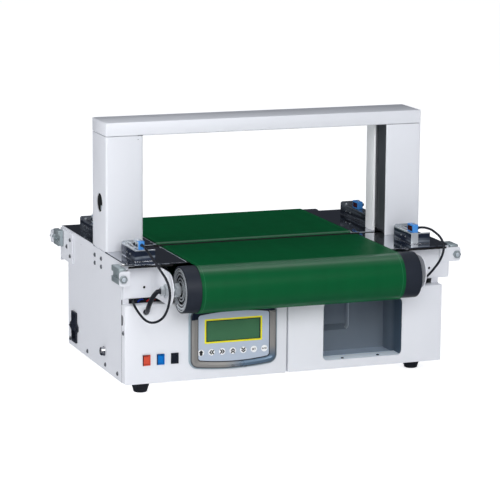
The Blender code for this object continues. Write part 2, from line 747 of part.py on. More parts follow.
def make_left_side():
    """One sheet from the floor to the deck, with a rear overhang and a front corner flange."""
    outline = [
        (SIDE_FRONT, 0.0),
        (BODY_DEPTH, 0.0),
        (BODY_DEPTH, STEP_HEIGHT),
        (UPPER_REAR, STEP_HEIGHT),
        (UPPER_REAR, DECK_TOP),
        (ARCH_REAR, DECK_TOP),
        (ARCH_REAR, SIDE_TOP),
        (SIDE_FRONT, SIDE_TOP),
    ]
    inlet_y, inlet_z = INLET_CENTRE
    width = INLET_WIDTH - 2 * INLET_FRAME + 2 * GAP
    height = INLET_HEIGHT - 2 * INLET_FRAME + 2 * GAP
    inlet_hole = rectangle(inlet_y - width / 2, inlet_z - height / 2, width, height)
    socket_hole = circle(PLUG_CENTRE, PLUG_THREAD_RADIUS + GAP)
    panel = plate("left_side_panel", [outline, inlet_hole, socket_hole], 0.0, SHEET, "YZ", WHITE)
    flange = box(
        "left_corner_flange",
        (SHEET - LAP, SIDE_FRONT, 0.0),
        (CORNER_FLANGE, SIDE_FRONT + SHEET, SHOULDER_BOTTOM - GAP),
    )
    join(panel, flange)


def make_right_side():
    """The cabinet's right panel, and on it the wider frame plate with its shelf and upstand for the deck."""
    side_top = STEP_HEIGHT - SHEET - GAP
    outline = [(SIDE_FRONT, 0.0), (BODY_DEPTH, 0.0), (BODY_DEPTH, side_top), (SIDE_FRONT, side_top)]
    panel = plate("right_side_panel", [outline], RIGHT_SIDE, SHEET, "YZ", WHITE)
    flange = box(
        "right_corner_flange",
        (BODY_WIDTH - CORNER_FLANGE, SIDE_FRONT, 0.0),
        (RIGHT_SIDE + LAP, SIDE_FRONT + SHEET, SHOULDER_BOTTOM - GAP),
    )
    join(panel, flange)
    upstand = DECK_RIGHT - UPSTAND_INSET
    path = [
        (FRAME_WIDTH - FRAME_LEDGE, STEP_HEIGHT - SHEET),
        (FRAME_WIDTH, STEP_HEIGHT - SHEET),
        (FRAME_WIDTH, AXIS_HEIGHT + FRAME_SHELF_RISE),
        (upstand, AXIS_HEIGHT + FRAME_SHELF_RISE),
        (upstand, SIDE_TOP),
    ]
    front = SIDE_FRONT + 2 * FLANGE_STEP
    folded("right_frame_plate", path, front, UPPER_REAR, SHEET, "XZ", BEND, WHITE)


def make_left_cover():
    cover = pan(
        "front_left_cover", (0.0, 0.0, 0.0), (COVER_SEAM, COVER_DEPTH, COVER_HEIGHT),
        COVER_SHEET, COVER_EDGE, WHITE,
    )
    notch = rod(
        "notch_cutter",
        *along("X", (0.0, COVER_DEPTH, NOTCH_HEIGHT), -CUT_PAST, COVER_SHEET + CUT_PAST),
        NOTCH_RADIUS, "X",
    )
    hole_x, hole_z = CABLE_HOLE
    cable = rod(
        "cable_hole_cutter",
        *along("Y", (hole_x, 0.0, hole_z), -CUT_PAST, COVER_SHEET + CUT_PAST),
        CABLE_HOLE_RADIUS, "Y",
    )
    back = MEMBRANE_WIDTH - 2 * KEYPAD_CUT_MARGIN
    keypad = box(
        "keypad_cutter",
        (BEZEL_CENTRE - back / 2, -CUT_PAST, MEMBRANE_BOTTOM + KEYPAD_CUT_MARGIN),
        (
            BEZEL_CENTRE + back / 2,
            COVER_SHEET + CUT_PAST,
            MEMBRANE_BOTTOM + MEMBRANE_HEIGHT - KEYPAD_CUT_MARGIN,
        ),
    )
    cut(cover, notch, cable, keypad)
    for x in switch_places():
        half = SWITCH_WIDTH / 2 - SWITCH_INSET + GAP
        low = SWITCH_BOTTOM + SWITCH_INSET - GAP
        high = SWITCH_BOTTOM + SWITCH_HEIGHT - SWITCH_INSET + GAP
        hole = box(
            f"switch_hole_cutter_{x:.3f}",
            (x - half, -CUT_PAST, low),
            (x + half, COVER_SHEET + CUT_PAST, high),
        )
        cut(cover, hole)


def make_right_cover():
    cover = pan(
        "front_right_cover", (COVER_SEAM + SEAM_WIDTH, 0.0, 0.0), (BODY_WIDTH, COVER_DEPTH, COVER_HEIGHT),
        COVER_SHEET, COVER_EDGE, WHITE,
    )
    window = rectangle(WINDOW_LEFT, WINDOW_BOTTOM, WINDOW_WIDTH, WINDOW_HEIGHT, WINDOW_CORNER)
    cut(cover, plate("window_cutter", [window], -CUT_PAST, COVER_SHEET + 2 * CUT_PAST, "XZ"))


def make_bay():
    """The stainless bay behind the window: an open box with a front ledge and a pocket in its back."""
    front = COVER_SHEET + GAP
    left = WINDOW_LEFT - BAY_MARGIN
    right = WINDOW_LEFT + WINDOW_WIDTH + BAY_MARGIN
    floor = WINDOW_BOTTOM - BAY_MARGIN - BAY_LEDGE_HEIGHT
    top = WINDOW_BOTTOM + WINDOW_HEIGHT + BAY_MARGIN
    back = front + BAY_DEPTH
    wall = COVER_SHEET
    bay = box(
        "window_bay", (left - wall, front, floor - wall), (right + wall, back + wall, top + wall), STEEL
    )
    pocket_back = back + POCKET_DEPTH
    pocket_low = floor + (top - floor) * POCKET_LOW_SHARE
    pocket_right = left + (right - left) * POCKET_WIDTH_SHARE
    outer = box(
        "pocket_shell", (left - wall, back, pocket_low - wall), (pocket_right + wall, pocket_back + wall, top + wall)
    )
    join(bay, outer)
    hollow = box("bay_cutter", (left, front - CUT_PAST, floor), (right, back, top))
    pocket = rounded(
        [(left, pocket_low), (pocket_right, pocket_low, POCKET_CORNER), (pocket_right, top), (left, top)]
    )
    recess = plate("pocket_cutter", [pocket], back - wall, POCKET_DEPTH + wall, "XZ")
    cut(bay, hollow, recess)
    ledge = box(
        "bay_ledge",
        (left - LAP, front + GAP, floor - LAP),
        (right + LAP, front + BAY_LEDGE_DEPTH, floor + BAY_LEDGE_HEIGHT),
    )
    join(bay, ledge)


def switch_places():
    return [SWITCH_FIRST + SWITCH_PITCH * k for k in range(3)]


def make_switches():
    """Rocker switches: a housing with a flange on the cover, and a rocker on its own cross axis."""
    for name, x, colour in zip(("red", "blue", "black"), switch_places(), (RED, BLUE, BLACK)):
        half = SWITCH_WIDTH / 2
        top = SWITCH_BOTTOM + SWITCH_HEIGHT
        middle = SWITCH_BOTTOM + SWITCH_HEIGHT / 2
        housing = box(
            f"{name}_switch_housing",
            (x - half, -GAP - SWITCH_FLANGE, SWITCH_BOTTOM),
            (x + half, -GAP, top),
            colour,
        )
        body = box(
            f"{name}_switch_body",
            (x - half + SWITCH_INSET, -GAP - LAP, SWITCH_BOTTOM + SWITCH_INSET),
            (x + half - SWITCH_INSET, SWITCH_BODY_DEPTH, top - SWITCH_INSET),
        )
        join(housing, body)
        opening = SWITCH_WALL + SWITCH_INSET
        well = box(
            f"{name}_switch_well",
            (x - half + opening, -SWITCH_FLANGE - CUT_PAST, SWITCH_BOTTOM + opening),
            (x + half - opening, ROCKER_DEPTH + SWITCH_FLANGE, top - opening),
        )
        cut(housing, well)
        make_rocker(
            f"{name}_rocker",
            (x, 0.0, middle),
            (SWITCH_WIDTH - 2 * opening - 2 * GAP, SWITCH_HEIGHT - 2 * opening - 2 * GAP),
            "XZ",
            colour,
        )


def rocker_outline(length, tilt):
    """Side view of a rocker: a shallow V in front, a round back about the axis."""
    half = length / 2
    reach = math.hypot(half, ROCKER_STAND)
    lean = math.atan2(ROCKER_STAND, half)
    turns = (tilt + lean, tilt + math.pi - lean)
    points = [Vector((0.0, ROCKER_STAND / 2))]
    points += [Vector((math.cos(turn), math.sin(turn))) * (reach - GAP) for turn in (turns[1],)]
    for k in range(CORNER_STEPS + 1):
        turn = math.pi + math.pi * k / CORNER_STEPS + tilt
        points.append(Vector((math.cos(turn) * (half - GAP), math.sin(turn) * ROCKER_DEPTH)))
    points += [Vector((math.cos(turn), math.sin(turn))) * (reach - GAP) for turn in (turns[0],)]
    return points


def make_rocker(name, pivot, size, plane, finish):
    """A rocker lying over to its off side. Its origin is on its axis."""
    width, length = size
    tilt = math.radians(ROCKER_TILT_DEGREES)
    shape = plate(name, [rocker_outline(length, tilt)], -width / 2, width, "XY", finish)
    u, v, w = PLANES["XY"]
    if plane == "XZ":
        turn = Matrix((Vector((0, 0, 1)), Vector((0, -1, 0)), Vector((1, 0, 0)))).transposed()
    else:
        turn = Matrix((Vector((0, 0, 1)), Vector((-1, 0, 0)), Vector((0, -1, 0)))).transposed()
    shape.data.transform(turn.to_4x4())
    shape.location = pivot
    return shape


def make_keypad():
    """The bezel ring, the membrane plate in it, the display window and the round keys."""
    outer = barrel(BEZEL_CENTRE, BEZEL_BOTTOM, BEZEL_WIDTH, BEZEL_HEIGHT, BEZEL_BULGE, BEZEL_CORNER)
    inner = barrel(
        BEZEL_CENTRE, MEMBRANE_BOTTOM, MEMBRANE_WIDTH, MEMBRANE_HEIGHT, MEMBRANE_BULGE, MEMBRANE_CORNER
    )
    bezel = plate("keypad_bezel", [outer, inner], -GAP - BEZEL_STAND, BEZEL_STAND, "XZ", GREY)
    bevel = bezel.modifiers.new("moulded_edge", "BEVEL")
    bevel.width = BEZEL_CHAMFER
    bevel.segments = 2
    bevel.limit_method = "WEIGHT"
    front = [
        side.index for side in bezel.data.edges
        if all(bezel.data.vertices[k].co.y < -BEZEL_STAND / 2 for k in side.vertices)
    ]
    mark_rim(bezel.data, front)
    left = BEZEL_CENTRE - MEMBRANE_WIDTH / 2
    skin = barrel(
        BEZEL_CENTRE,
        MEMBRANE_BOTTOM + GAP,
        MEMBRANE_WIDTH - 2 * GAP,
        MEMBRANE_HEIGHT - 2 * GAP,
        MEMBRANE_BULGE,
        MEMBRANE_CORNER - GAP,
    )
    face = -MEMBRANE_STAND
    display = rectangle(
        left + DISPLAY_LEFT, MEMBRANE_BOTTOM + DISPLAY_BOTTOM, DISPLAY_WIDTH, DISPLAY_HEIGHT, DISPLAY_CORNER
    )
    around = rectangle(
        left + DISPLAY_LEFT - GAP,
        MEMBRANE_BOTTOM + DISPLAY_BOTTOM - GAP,
        DISPLAY_WIDTH + 2 * GAP,
        DISPLAY_HEIGHT + 2 * GAP,
        DISPLAY_CORNER + GAP,
    )
    places = [
        (BEZEL_CENTRE - KEYS_ASIDE + (k - (KEY_COUNT - 1) / 2) * KEY_PITCH, MEMBRANE_BOTTOM + KEY_HEIGHT)
        for k in range(KEY_COUNT)
    ]
    holes = [circle(place, KEY_RADIUS + GAP) for place in places]
    plate("keypad_membrane", [skin, around, *holes], face, MEMBRANE_SHEET, "XZ", MEMBRANE_BLUE)
    plate("display_window", [display], face, MEMBRANE_SHEET, "XZ", DISPLAY_GREEN)
    for k, (x, z) in enumerate(places):
        front_y = face - KEY_PROUD
        ends = along("Y", (x, 0.0, z), front_y, front_y + MEMBRANE_SHEET)
        shade(rod(f"key_{k + 1}", *ends, KEY_RADIUS, "Y", KEY_WHITE))


def mark_rim(mesh, edges):
    """Gives the bevel its weight on the outline's edges of a flat face, and none inside it."""
    faces_at = {}
    for face in mesh.polygons:
        for key in face.edge_keys:
            faces_at.setdefault(key, []).append(face)
    weights = mesh.attributes.new("bevel_weight_edge", "FLOAT", "EDGE")
    for index in edges:
        beside = faces_at[mesh.edges[index].key]
        turned_away = abs(beside[0].normal.dot(beside[1].normal)) < 0.5
        weights.data[index].value = 1.0 if turned_away else 0.0


def make_inlet():
    """The power inlet in the left side: flange with screw ears, socket with contacts, rocker well."""
    y, z = INLET_CENTRE
    half_w = INLET_WIDTH / 2
    half_h = INLET_HEIGHT / 2
    ear = INLET_EARS / 2
    rise = INLET_EAR_HEIGHT / 2
    outline = rounded(
        [
            (y - half_w, z - half_h), (y + half_w, z - half_h), (y + half_w, z - rise),
            (y + ear, z - rise / 2), (y + ear, z + rise / 2), (y + half_w, z + rise),
            (y + half_w, z + half_h), (y - half_w, z + half_h), (y - half_w, z + rise),
            (y - ear, z + rise / 2), (y - ear, z - rise / 2), (y - half_w, z - rise),
        ],
        INLET_CORNER,
    )
    inlet = plate("power_inlet", [outline], -GAP - INLET_FLANGE, INLET_FLANGE, "YZ", BLACK)
    body = box(
        "inlet_body",
        (-GAP - LAP, y - half_w + INLET_FRAME, z - half_h + INLET_FRAME),
        (INLET_DEPTH, y + half_w - INLET_FRAME, z + half_h - INLET_FRAME),
    )
    socket_w, socket_h = INLET_SOCKET_SIZE
    socket_low = z + INLET_SOCKET_RISE - socket_h / 2
    socket = rounded(
        [
            (y - socket_w / 2, socket_low), (y + socket_w / 2, socket_low),
            (y + socket_w / 2, socket_low + socket_h * 0.7), (y + socket_w * 0.3, socket_low + socket_h),
            (y - socket_w * 0.3, socket_low + socket_h), (y - socket_w / 2, socket_low + socket_h * 0.7),
        ],
        SENSOR_EDGE,
    )
    front = -GAP - INLET_FLANGE
    hollow = plate(
        "inlet_socket_cutter", [socket], front - CUT_PAST, INLET_SOCKET_DEPTH + CUT_PAST, "YZ"
    )
    rocker_w, rocker_h = INLET_ROCKER_SIZE
    well = box(
        "inlet_well_cutter",
        (front - CUT_PAST, y - rocker_w / 2, z + INLET_ROCKER_RISE - rocker_h / 2),
        (front + INLET_WELL_DEPTH, y + rocker_w / 2, z + INLET_ROCKER_RISE + rocker_h / 2),
    )
    join(inlet, body)
    cut(inlet, hollow, well)
    contact_w, contact_h = CONTACT_SIZE
    for name, side, lift in (("line", -1, -1), ("earth", 0, 1), ("neutral", 1, -1)):
        cy = y + side * CONTACT_SPREAD
        cz = z + INLET_SOCKET_RISE + lift * CONTACT_RISE / 2
        blade = box(
            f"{name}_contact",
            (front + INLET_SOCKET_DEPTH - CONTACT_LENGTH, cy - contact_w / 2, cz - contact_h / 2),
            (front + INLET_SOCKET_DEPTH + LAP, cy + contact_w / 2, cz + contact_h / 2),
        )
        join(inlet, blade)
    make_rocker(
        "inlet_rocker",
        (front + ROCKER_STAND, y, z + INLET_ROCKER_RISE),
        (rocker_w - 2 * GAP, rocker_h - 2 * GAP),
        "YZ",
        BLACK,
    )


def make_signal_socket():
    """The round chrome socket: threaded collar outside the panel, body through it."""
    y, z = PLUG_CENTRE
    profile = [
        (PLUG_THREAD_RADIUS, PLUG_BACK),
        (PLUG_THREAD_RADIUS, -GAP),
        (PLUG_RADIUS, -GAP),
        (PLUG_RADIUS, -GAP - PLUG_COLLAR),
        (PLUG_THREAD_RADIUS, -GAP - PLUG_COLLAR),
        (PLUG_THREAD_RADIUS, -PLUG_STAND),
        (PLUG_BORE_RADIUS, -PLUG_STAND),
        (PLUG_BORE_RADIUS, -PLUG_STAND + PLUG_BORE_DEPTH),
    ]
    solid = [(0.0, PLUG_BACK), *profile, (0.0, -PLUG_STAND + PLUG_BORE_DEPTH)]
    shade(turned("signal_socket", solid, (0.0, y, z), "X", CHROME))


def make_shoulder(name, side, end, plate_face, cheek_inset, axis_ahead, ear, flange, inset, bend):
    """A corner bracket: cross plate, side flange, rounded cheek that carries the axle, and bolt ear.

    side is -1 at the left and 1 at the right, end is -1 at the front and 1 at the rear. The ear holds
    how far it stands ahead, how far out and in it reaches and its bolt's place; the flange holds its
    length and its height span, inset is how far inside the frame's face it lies, and bend is the
    radius between plate and cheek.
    """
    ear_ahead, ear_out, ear_inner, bolt_out = ear
    side_x = 0.0 if side < 0 else FRAME_WIDTH

    def x_at(inward):
        return side_x - side * inward

    def y_at(outward):
        return plate_face + end * outward

    flange_length, (flange_low, flange_high) = flange
    reach = axis_ahead + CHEEK_END_RADIUS
    path = [
        (x_at(inset), y_at(-flange_length)),
        (x_at(inset), y_at(0.0)),
        (x_at(cheek_inset), y_at(0.0), bend),
        (x_at(cheek_inset), y_at(reach)),
    ]
    if side != end:
        path.reverse()
    low = SHOULDER_BOTTOM
    high = SHOULDER_TOP
    shoulder = folded(name, path, low - LAP, high + CUT_PAST + LAP, CHEEK_SHEET, "XY", TIGHT_BEND, WHITE)
    tip = y_at(reach)
    heel = y_at(-flange_length - CUT_PAST)
    step = y_at(-CHEEK_SHEET - FLANGE_STEP)
    end_radius = (high - low) / 2 - LAP
    silhouette = rounded(
        [
            (heel, flange_low), (step, flange_low), (step, low), (tip, low, end_radius),
            (tip, high, end_radius), (step, high), (step, flange_high), (heel, flange_high),
        ],
        steps=8,
    )
    span = cheek_inset + 2 * CUT_PAST + CHEEK_SHEET
    start = min(x_at(-CUT_PAST), x_at(span))
    trim = plate(name + "_silhouette", [silhouette], start, span + CUT_PAST, "YZ")
    boolean(shoulder, trim, "INTERSECT")
    web_inner = inset + CHEEK_SHEET
    ear_xs = sorted((x_at(-ear_out), x_at(inset + ear_inner)))
    ear_outline = rounded(
        [
            (ear_xs[0], EAR_BOTTOM, EAR_CORNER if side < 0 else 0.0),
            (ear_xs[1], EAR_BOTTOM, EAR_CORNER if side > 0 else 0.0),
            (ear_xs[1], EAR_BOTTOM + EAR_HEIGHT, EAR_CORNER if side > 0 else 0.0),
            (ear_xs[0], EAR_BOTTOM + EAR_HEIGHT, EAR_CORNER if side < 0 else 0.0),
        ]
    )
    bolt_hole = circle((x_at(-bolt_out), BOLT_HEIGHT), BOLT_RADIUS + GAP)
    ear_low = min(y_at(ear_ahead), y_at(ear_ahead - CHEEK_SHEET))
    ear = plate(name + "_ear", [ear_outline, bolt_hole], ear_low, CHEEK_SHEET, "XZ")
    web_xs = (x_at(inset + GAP), x_at(web_inner - GAP))
    web_ys = (y_at(-LAP), y_at(ear_ahead - LAP))
    web = box(
        name + "_web",
        (min(web_xs), min(web_ys), EAR_BOTTOM + GAP),
        (max(web_xs), max(web_ys), EAR_BOTTOM + EAR_HEIGHT - GAP),
    )
    join(shoulder, ear, web)
    axle_y = y_at(axis_ahead)
    bore_xs = sorted((x_at(cheek_inset - CUT_PAST), x_at(cheek_inset + CHEEK_SHEET + CUT_PAST)))
    bore_ends = along("X", (0.0, axle_y, AXIS_HEIGHT), *bore_xs)
    bore = rod(name + "_bore", *bore_ends, AXLE_RADIUS + GAP, "X")
    hole_ys = sorted((y_at(CUT_PAST), y_at(-SHEET - CUT_PAST)))
    hole_ends = along("Y", (x_at(PLATE_HOLE_INSET), 0.0, PLATE_HOLE_HEIGHT), *hole_ys)
    hole = rod(name + "_hole", *hole_ends, PLATE_HOLE_RADIUS, "Y")
    cut(shoulder, bore, hole)


def make_take_up(name, side, end, plate_face, span, ear_ahead, bolt_out, stand):
    """A zinc take-up block beside the frame, with its boss and the adjusting bolt through the ear."""
    side_x = 0.0 if side < 0 else FRAME_WIDTH
    ys = sorted(plate_face + end * value for value in span)
    xs = sorted((side_x + side * stand, side_x + side * (bolt_out + BLOCK_BOLT_COVER)))
    top = BLOCK_BOTTOM + BLOCK_HEIGHT
    block = box(name, (xs[0], ys[0], BLOCK_BOTTOM), (xs[1], ys[1], top), ZINC, BLOCK_EDGE)
    outer = side_x + side * (bolt_out + BLOCK_BOLT_COVER)
    groove_low = BLOCK_BOTTOM + (BLOCK_HEIGHT - BLOCK_GROOVE_HEIGHT) / 2
    groove_xs = sorted((outer - side * BLOCK_GROOVE, outer + side * CUT_PAST))
    groove = box(
        name + "_groove",
        (groove_xs[0], ys[0] - CUT_PAST, groove_low),
        (groove_xs[1], ys[1] + CUT_PAST, groove_low + BLOCK_GROOVE_HEIGHT),
    )
    cut(block, groove)
    middle = (ys[0] + ys[1]) / 2
    floor = outer - side * BLOCK_GROOVE
    boss_xs = sorted((floor - side * LAP, outer - side * (BLOCK_GROOVE - BLOCK_BOSS_STAND)))
    boss = rod(
        name + "_boss",
        *along("X", (0.0, middle, BLOCK_BOTTOM + BLOCK_HEIGHT / 2), *boss_xs),
        BLOCK_BOSS_RADIUS * 0.9, "X",
    )
    bolt_x = side_x + side * bolt_out
    face = plate_face + end * max(span)
    under_head = plate_face + end * (ear_ahead + GAP)
    head_end = under_head + end * BOLT_HEAD_HEIGHT
    shank = rod(
        name + "_shank",
        *along("Y", (bolt_x, 0.0, BOLT_HEIGHT), *sorted((face - end * CUT_PAST, under_head + end * LAP))),
        BOLT_RADIUS, "Y", steps=12,
    )
    head = rod(
        name + "_head",
        *along("Y", (bolt_x, 0.0, BOLT_HEIGHT), *sorted((under_head, head_end))),
        BOLT_HEAD_FLATS / 2, "Y", flats=True,
    )
    join(block, boss, shank, head)


def make_corners():
    front_flange = (FRONT_FLANGE, FRONT_FLANGE_SPAN)
    rear_flange = (REAR_FLANGE, REAR_FLANGE_SPAN)
    outside = CHEEK_SHEET + GAP
    standing = (EAR_LEFT_AHEAD, EAR_OUT, CHEEK_SHEET, BOLT_OUT)
    flush = (FLUSH_EAR_AHEAD, FLUSH_EAR_OUT, FLUSH_EAR_INNER, FLUSH_BOLT_OUT)
    rear_ear = (EAR_REAR_AHEAD, EAR_OUT, CHEEK_SHEET, BOLT_OUT)
    standing_span = (-BLOCK_BACK, EAR_LEFT_AHEAD - BLOCK_EAR_ROOM)
    flush_span = (-GAP - BLOCK_LENGTH, -GAP)
    for side_name, side, cheek, ear, span in (
        ("left", -1, LEFT_CHEEK_INSET, standing, standing_span),
        ("right", 1, RIGHT_CHEEK_INSET, flush, flush_span),
    ):
        ahead = FRONT_PLATE - FRONT_AXIS
        make_shoulder(
            f"front_{side_name}_shoulder", side, -1, FRONT_PLATE, cheek, ahead,
            ear, front_flange, SHEET + GAP, CHEEK_BEND,
        )
        make_take_up(
            f"front_{side_name}_take_up", side, -1, FRONT_PLATE, span, ear[0], ear[3], GAP
        )
        ahead = REAR_AXIS - REAR_PLATE
        make_shoulder(
            f"rear_{side_name}_shoulder", side, 1, REAR_PLATE, cheek, ahead,
            rear_ear, rear_flange, -outside, TIGHT_BEND,
        )
        make_take_up(
            f"rear_{side_name}_take_up", side, 1, REAR_PLATE,
            (-BLOCK_REAR_BACK, EAR_REAR_AHEAD - BLOCK_REAR_EAR_ROOM), EAR_REAR_AHEAD, BOLT_OUT, outside + GAP,
        )


def drum_profile():
    """Half section of a drum from its middle plane: rubber rim, dished end with grooves, hub and bore."""
    half = DRUM_LENGTH / 2
    bore = AXLE_RADIUS + GAP
    end = [(DRUM_RADIUS - DRUM_RIM, half), (DRUM_RING_RADIUS, half), (DRUM_RING_RADIUS, half - DRUM_RIM)]
    level = half - DRUM_RIM
    for k, share in enumerate(DRUM_GROOVE_RADII_SHARE):
        radius = DRUM_RING_RADIUS * share
        end.append((radius, level))
        level = half - DRUM_DISH * (k + 1) / len(DRUM_GROOVE_RADII_SHARE)
        end.append((radius, level))
    end += [(DRUM_HUB_RADIUS, level), (DRUM_HUB_RADIUS, level + DRUM_HUB_DEPTH), (bore, level + DRUM_HUB_DEPTH)]
    top = list(reversed(end))
    bottom = [(radius, -height) for radius, height in end]
    return [*top, (DRUM_RADIUS, half - DRUM_RIM), (DRUM_RADIUS, -half + DRUM_RIM), *bottom]


def make_drums():
    for name, y in (("front", FRONT_AXIS), ("rear", REAR_AXIS)):
        centre = (BODY_WIDTH / 2, y, AXIS_HEIGHT)
        shade(turned(f"{name}_drum", drum_profile(), centre, "X", RUBBER, DRUM_STEPS, closed=True))
        make_axle(name, y)


def make_axle(name, y):
    """A fixed axle through both cheeks, with nuts on each side of a cheek and a cable gland at the front left."""
    place = (0.0, y, AXIS_HEIGHT)
    left_out = LEFT_CHEEK - GAP - NUT_HEIGHT
    right_out = RIGHT_CHEEK + GAP + NUT_HEIGHT
    axle = rod(
        f"{name}_axle", *along("X", place, left_out - AXLE_END, right_out + AXLE_END), AXLE_RADIUS, "X", STEEL
    )
    inner_left = LEFT_CHEEK + CHEEK_SHEET + GAP
    inner_right = RIGHT_CHEEK - CHEEK_SHEET - GAP
    nuts = (
        ("left_outer", left_out, LEFT_CHEEK - GAP),
        ("left_inner", inner_left, inner_left + INNER_NUT_HEIGHT),
        ("right_inner", inner_right - RIGHT_NUT_HEIGHT, inner_right),
        ("right_outer", RIGHT_CHEEK + GAP, right_out),
    )
    for nut, start, end in nuts:
        join(axle, rod(f"{name}_{nut}_nut", *along("X", place, start, end), NUT_FLATS / 2, "X", flats=True))
    if name == "front":
        ends = along("X", place, left_out - GLAND_HEIGHT, left_out + LAP)
        join(axle, rod("shaft_gland", *ends, GLAND_RADIUS, "X"))


def belt_loop(drum_y, nose_y, offset):
    """The closed line round a drum and its nose roller, a distance outside both."""
    drum = Vector((drum_y, AXIS_HEIGHT))
    nose = Vector((nose_y, NOSE_HEIGHT))
    across = nose - drum
    heading = math.atan2(across.y, across.x)
    lean = math.acos((DRUM_RADIUS - NOSE_RADIUS) / across.length)
    points = []
    for centre, radius, start, sweep, steps in (
        (drum, DRUM_RADIUS + offset, heading + lean, 2 * math.pi - 2 * lean, DRUM_STEPS * 2 // 3),
        (nose, NOSE_RADIUS + offset, heading - lean, 2 * lean, ROUND_STEPS // 2),
    ):
        for k in range(steps + 1):
            turn = start + sweep * k / steps
            points.append(centre + Vector((math.cos(turn), math.sin(turn))) * radius)
    return points


def make_belts():
    for name, drum_y, nose_y in (("front", FRONT_AXIS, FRONT_NOSE), ("rear", REAR_AXIS, REAR_NOSE)):
        loops = [belt_loop(drum_y, nose_y, GAP + BELT_SHEET), belt_loop(drum_y, nose_y, GAP)]
        plate(f"{name}_belt", loops, BELT_LEFT, BELT_WIDTH, "YZ", BELT_GREEN)


def nose_ends():
    """Where the nose rollers' bodies end, just wider than the belts."""
    return BELT_LEFT - BELT_SIDE_ROOM, BELT_RIGHT + BELT_SIDE_ROOM


def make_nose_rollers():
    left, right = nose_ends()
    middle = (left + right) / 2
    for name, y in (("front", FRONT_NOSE), ("rear", REAR_NOSE)):
        half = (right - left) / 2 - GAP
        journal = half + LUG_SHEET
        profile = [
            (0.0, journal),
            (NOSE_JOURNAL_RADIUS, journal),
            (NOSE_JOURNAL_RADIUS, half),
            (NOSE_RADIUS, half),
            (NOSE_RADIUS, -half),
            (NOSE_JOURNAL_RADIUS, -half),
            (NOSE_JOURNAL_RADIUS, -journal),
            (0.0, -journal),
        ]
        shade(turned(f"{name}_nose_roller", profile, (middle, y, NOSE_HEIGHT), "X", STEEL, 16))


def add_lugs(deck, name, y, wall_y):
    """Bearing lugs that hang below the deck at both ends of the nose roller."""
    left, right = nose_ends()
    for side, start in (("left", left - LUG_SHEET), ("right", right)):
        low = DECK_UNDER - LUG_DROP + LUG_WIDTH / 2
        outline = [(y + LUG_WIDTH / 2, low), (y + LUG_WIDTH / 2, DECK_UNDER + LAP), (y - LUG_WIDTH / 2, DECK_UNDER + LAP)]
        outline += [(y - LUG_WIDTH / 2, low)]
        lug = plate(
            f"{name}_{side}_lug", [rounded(outline), circle((y, NOSE_HEIGHT), NOSE_JOURNAL_RADIUS + GAP, 12)],
            start, LUG_SHEET, "YZ",
        )
        join(deck, lug)


def add_bracket(deck, name, x, front, rear, front_wing):
    """A sensor bracket on the deck: a side wall with a shelf, a tall cross plate behind and one in front."""
    top = BRACKET_TOP
    plan = [(x, rear), (x, front)]
    if front_wing:
        plan.append((x + BRACKET_WING, front))
    walls = folded(name + "_walls", plan, DECK_TOP - LAP, top, BRACKET_SHEET, "XY", BRACKET_BEND)
    shelf = box(
        name + "_shelf",
        (x + BRACKET_BEND / 2, front + BRACKET_BEND / 2, top - BRACKET_SHEET),
        (x + BRACKET_SHELF, rear - BRACKET_SHEET / 2, top),
    )
    right = x + BRACKET_WING
    high = top + BRACKET_WING_RISE
    outline = rounded([
        (x, DECK_TOP - LAP), (right, DECK_TOP - LAP), (right, high, BRACKET_EAR_CORNER),
        (x, high, BRACKET_EAR_CORNER),
    ])
    back = plate(name + "_back", [outline], rear - BRACKET_SHEET, BRACKET_SHEET, "XZ")
    join(deck, walls, shelf, back)


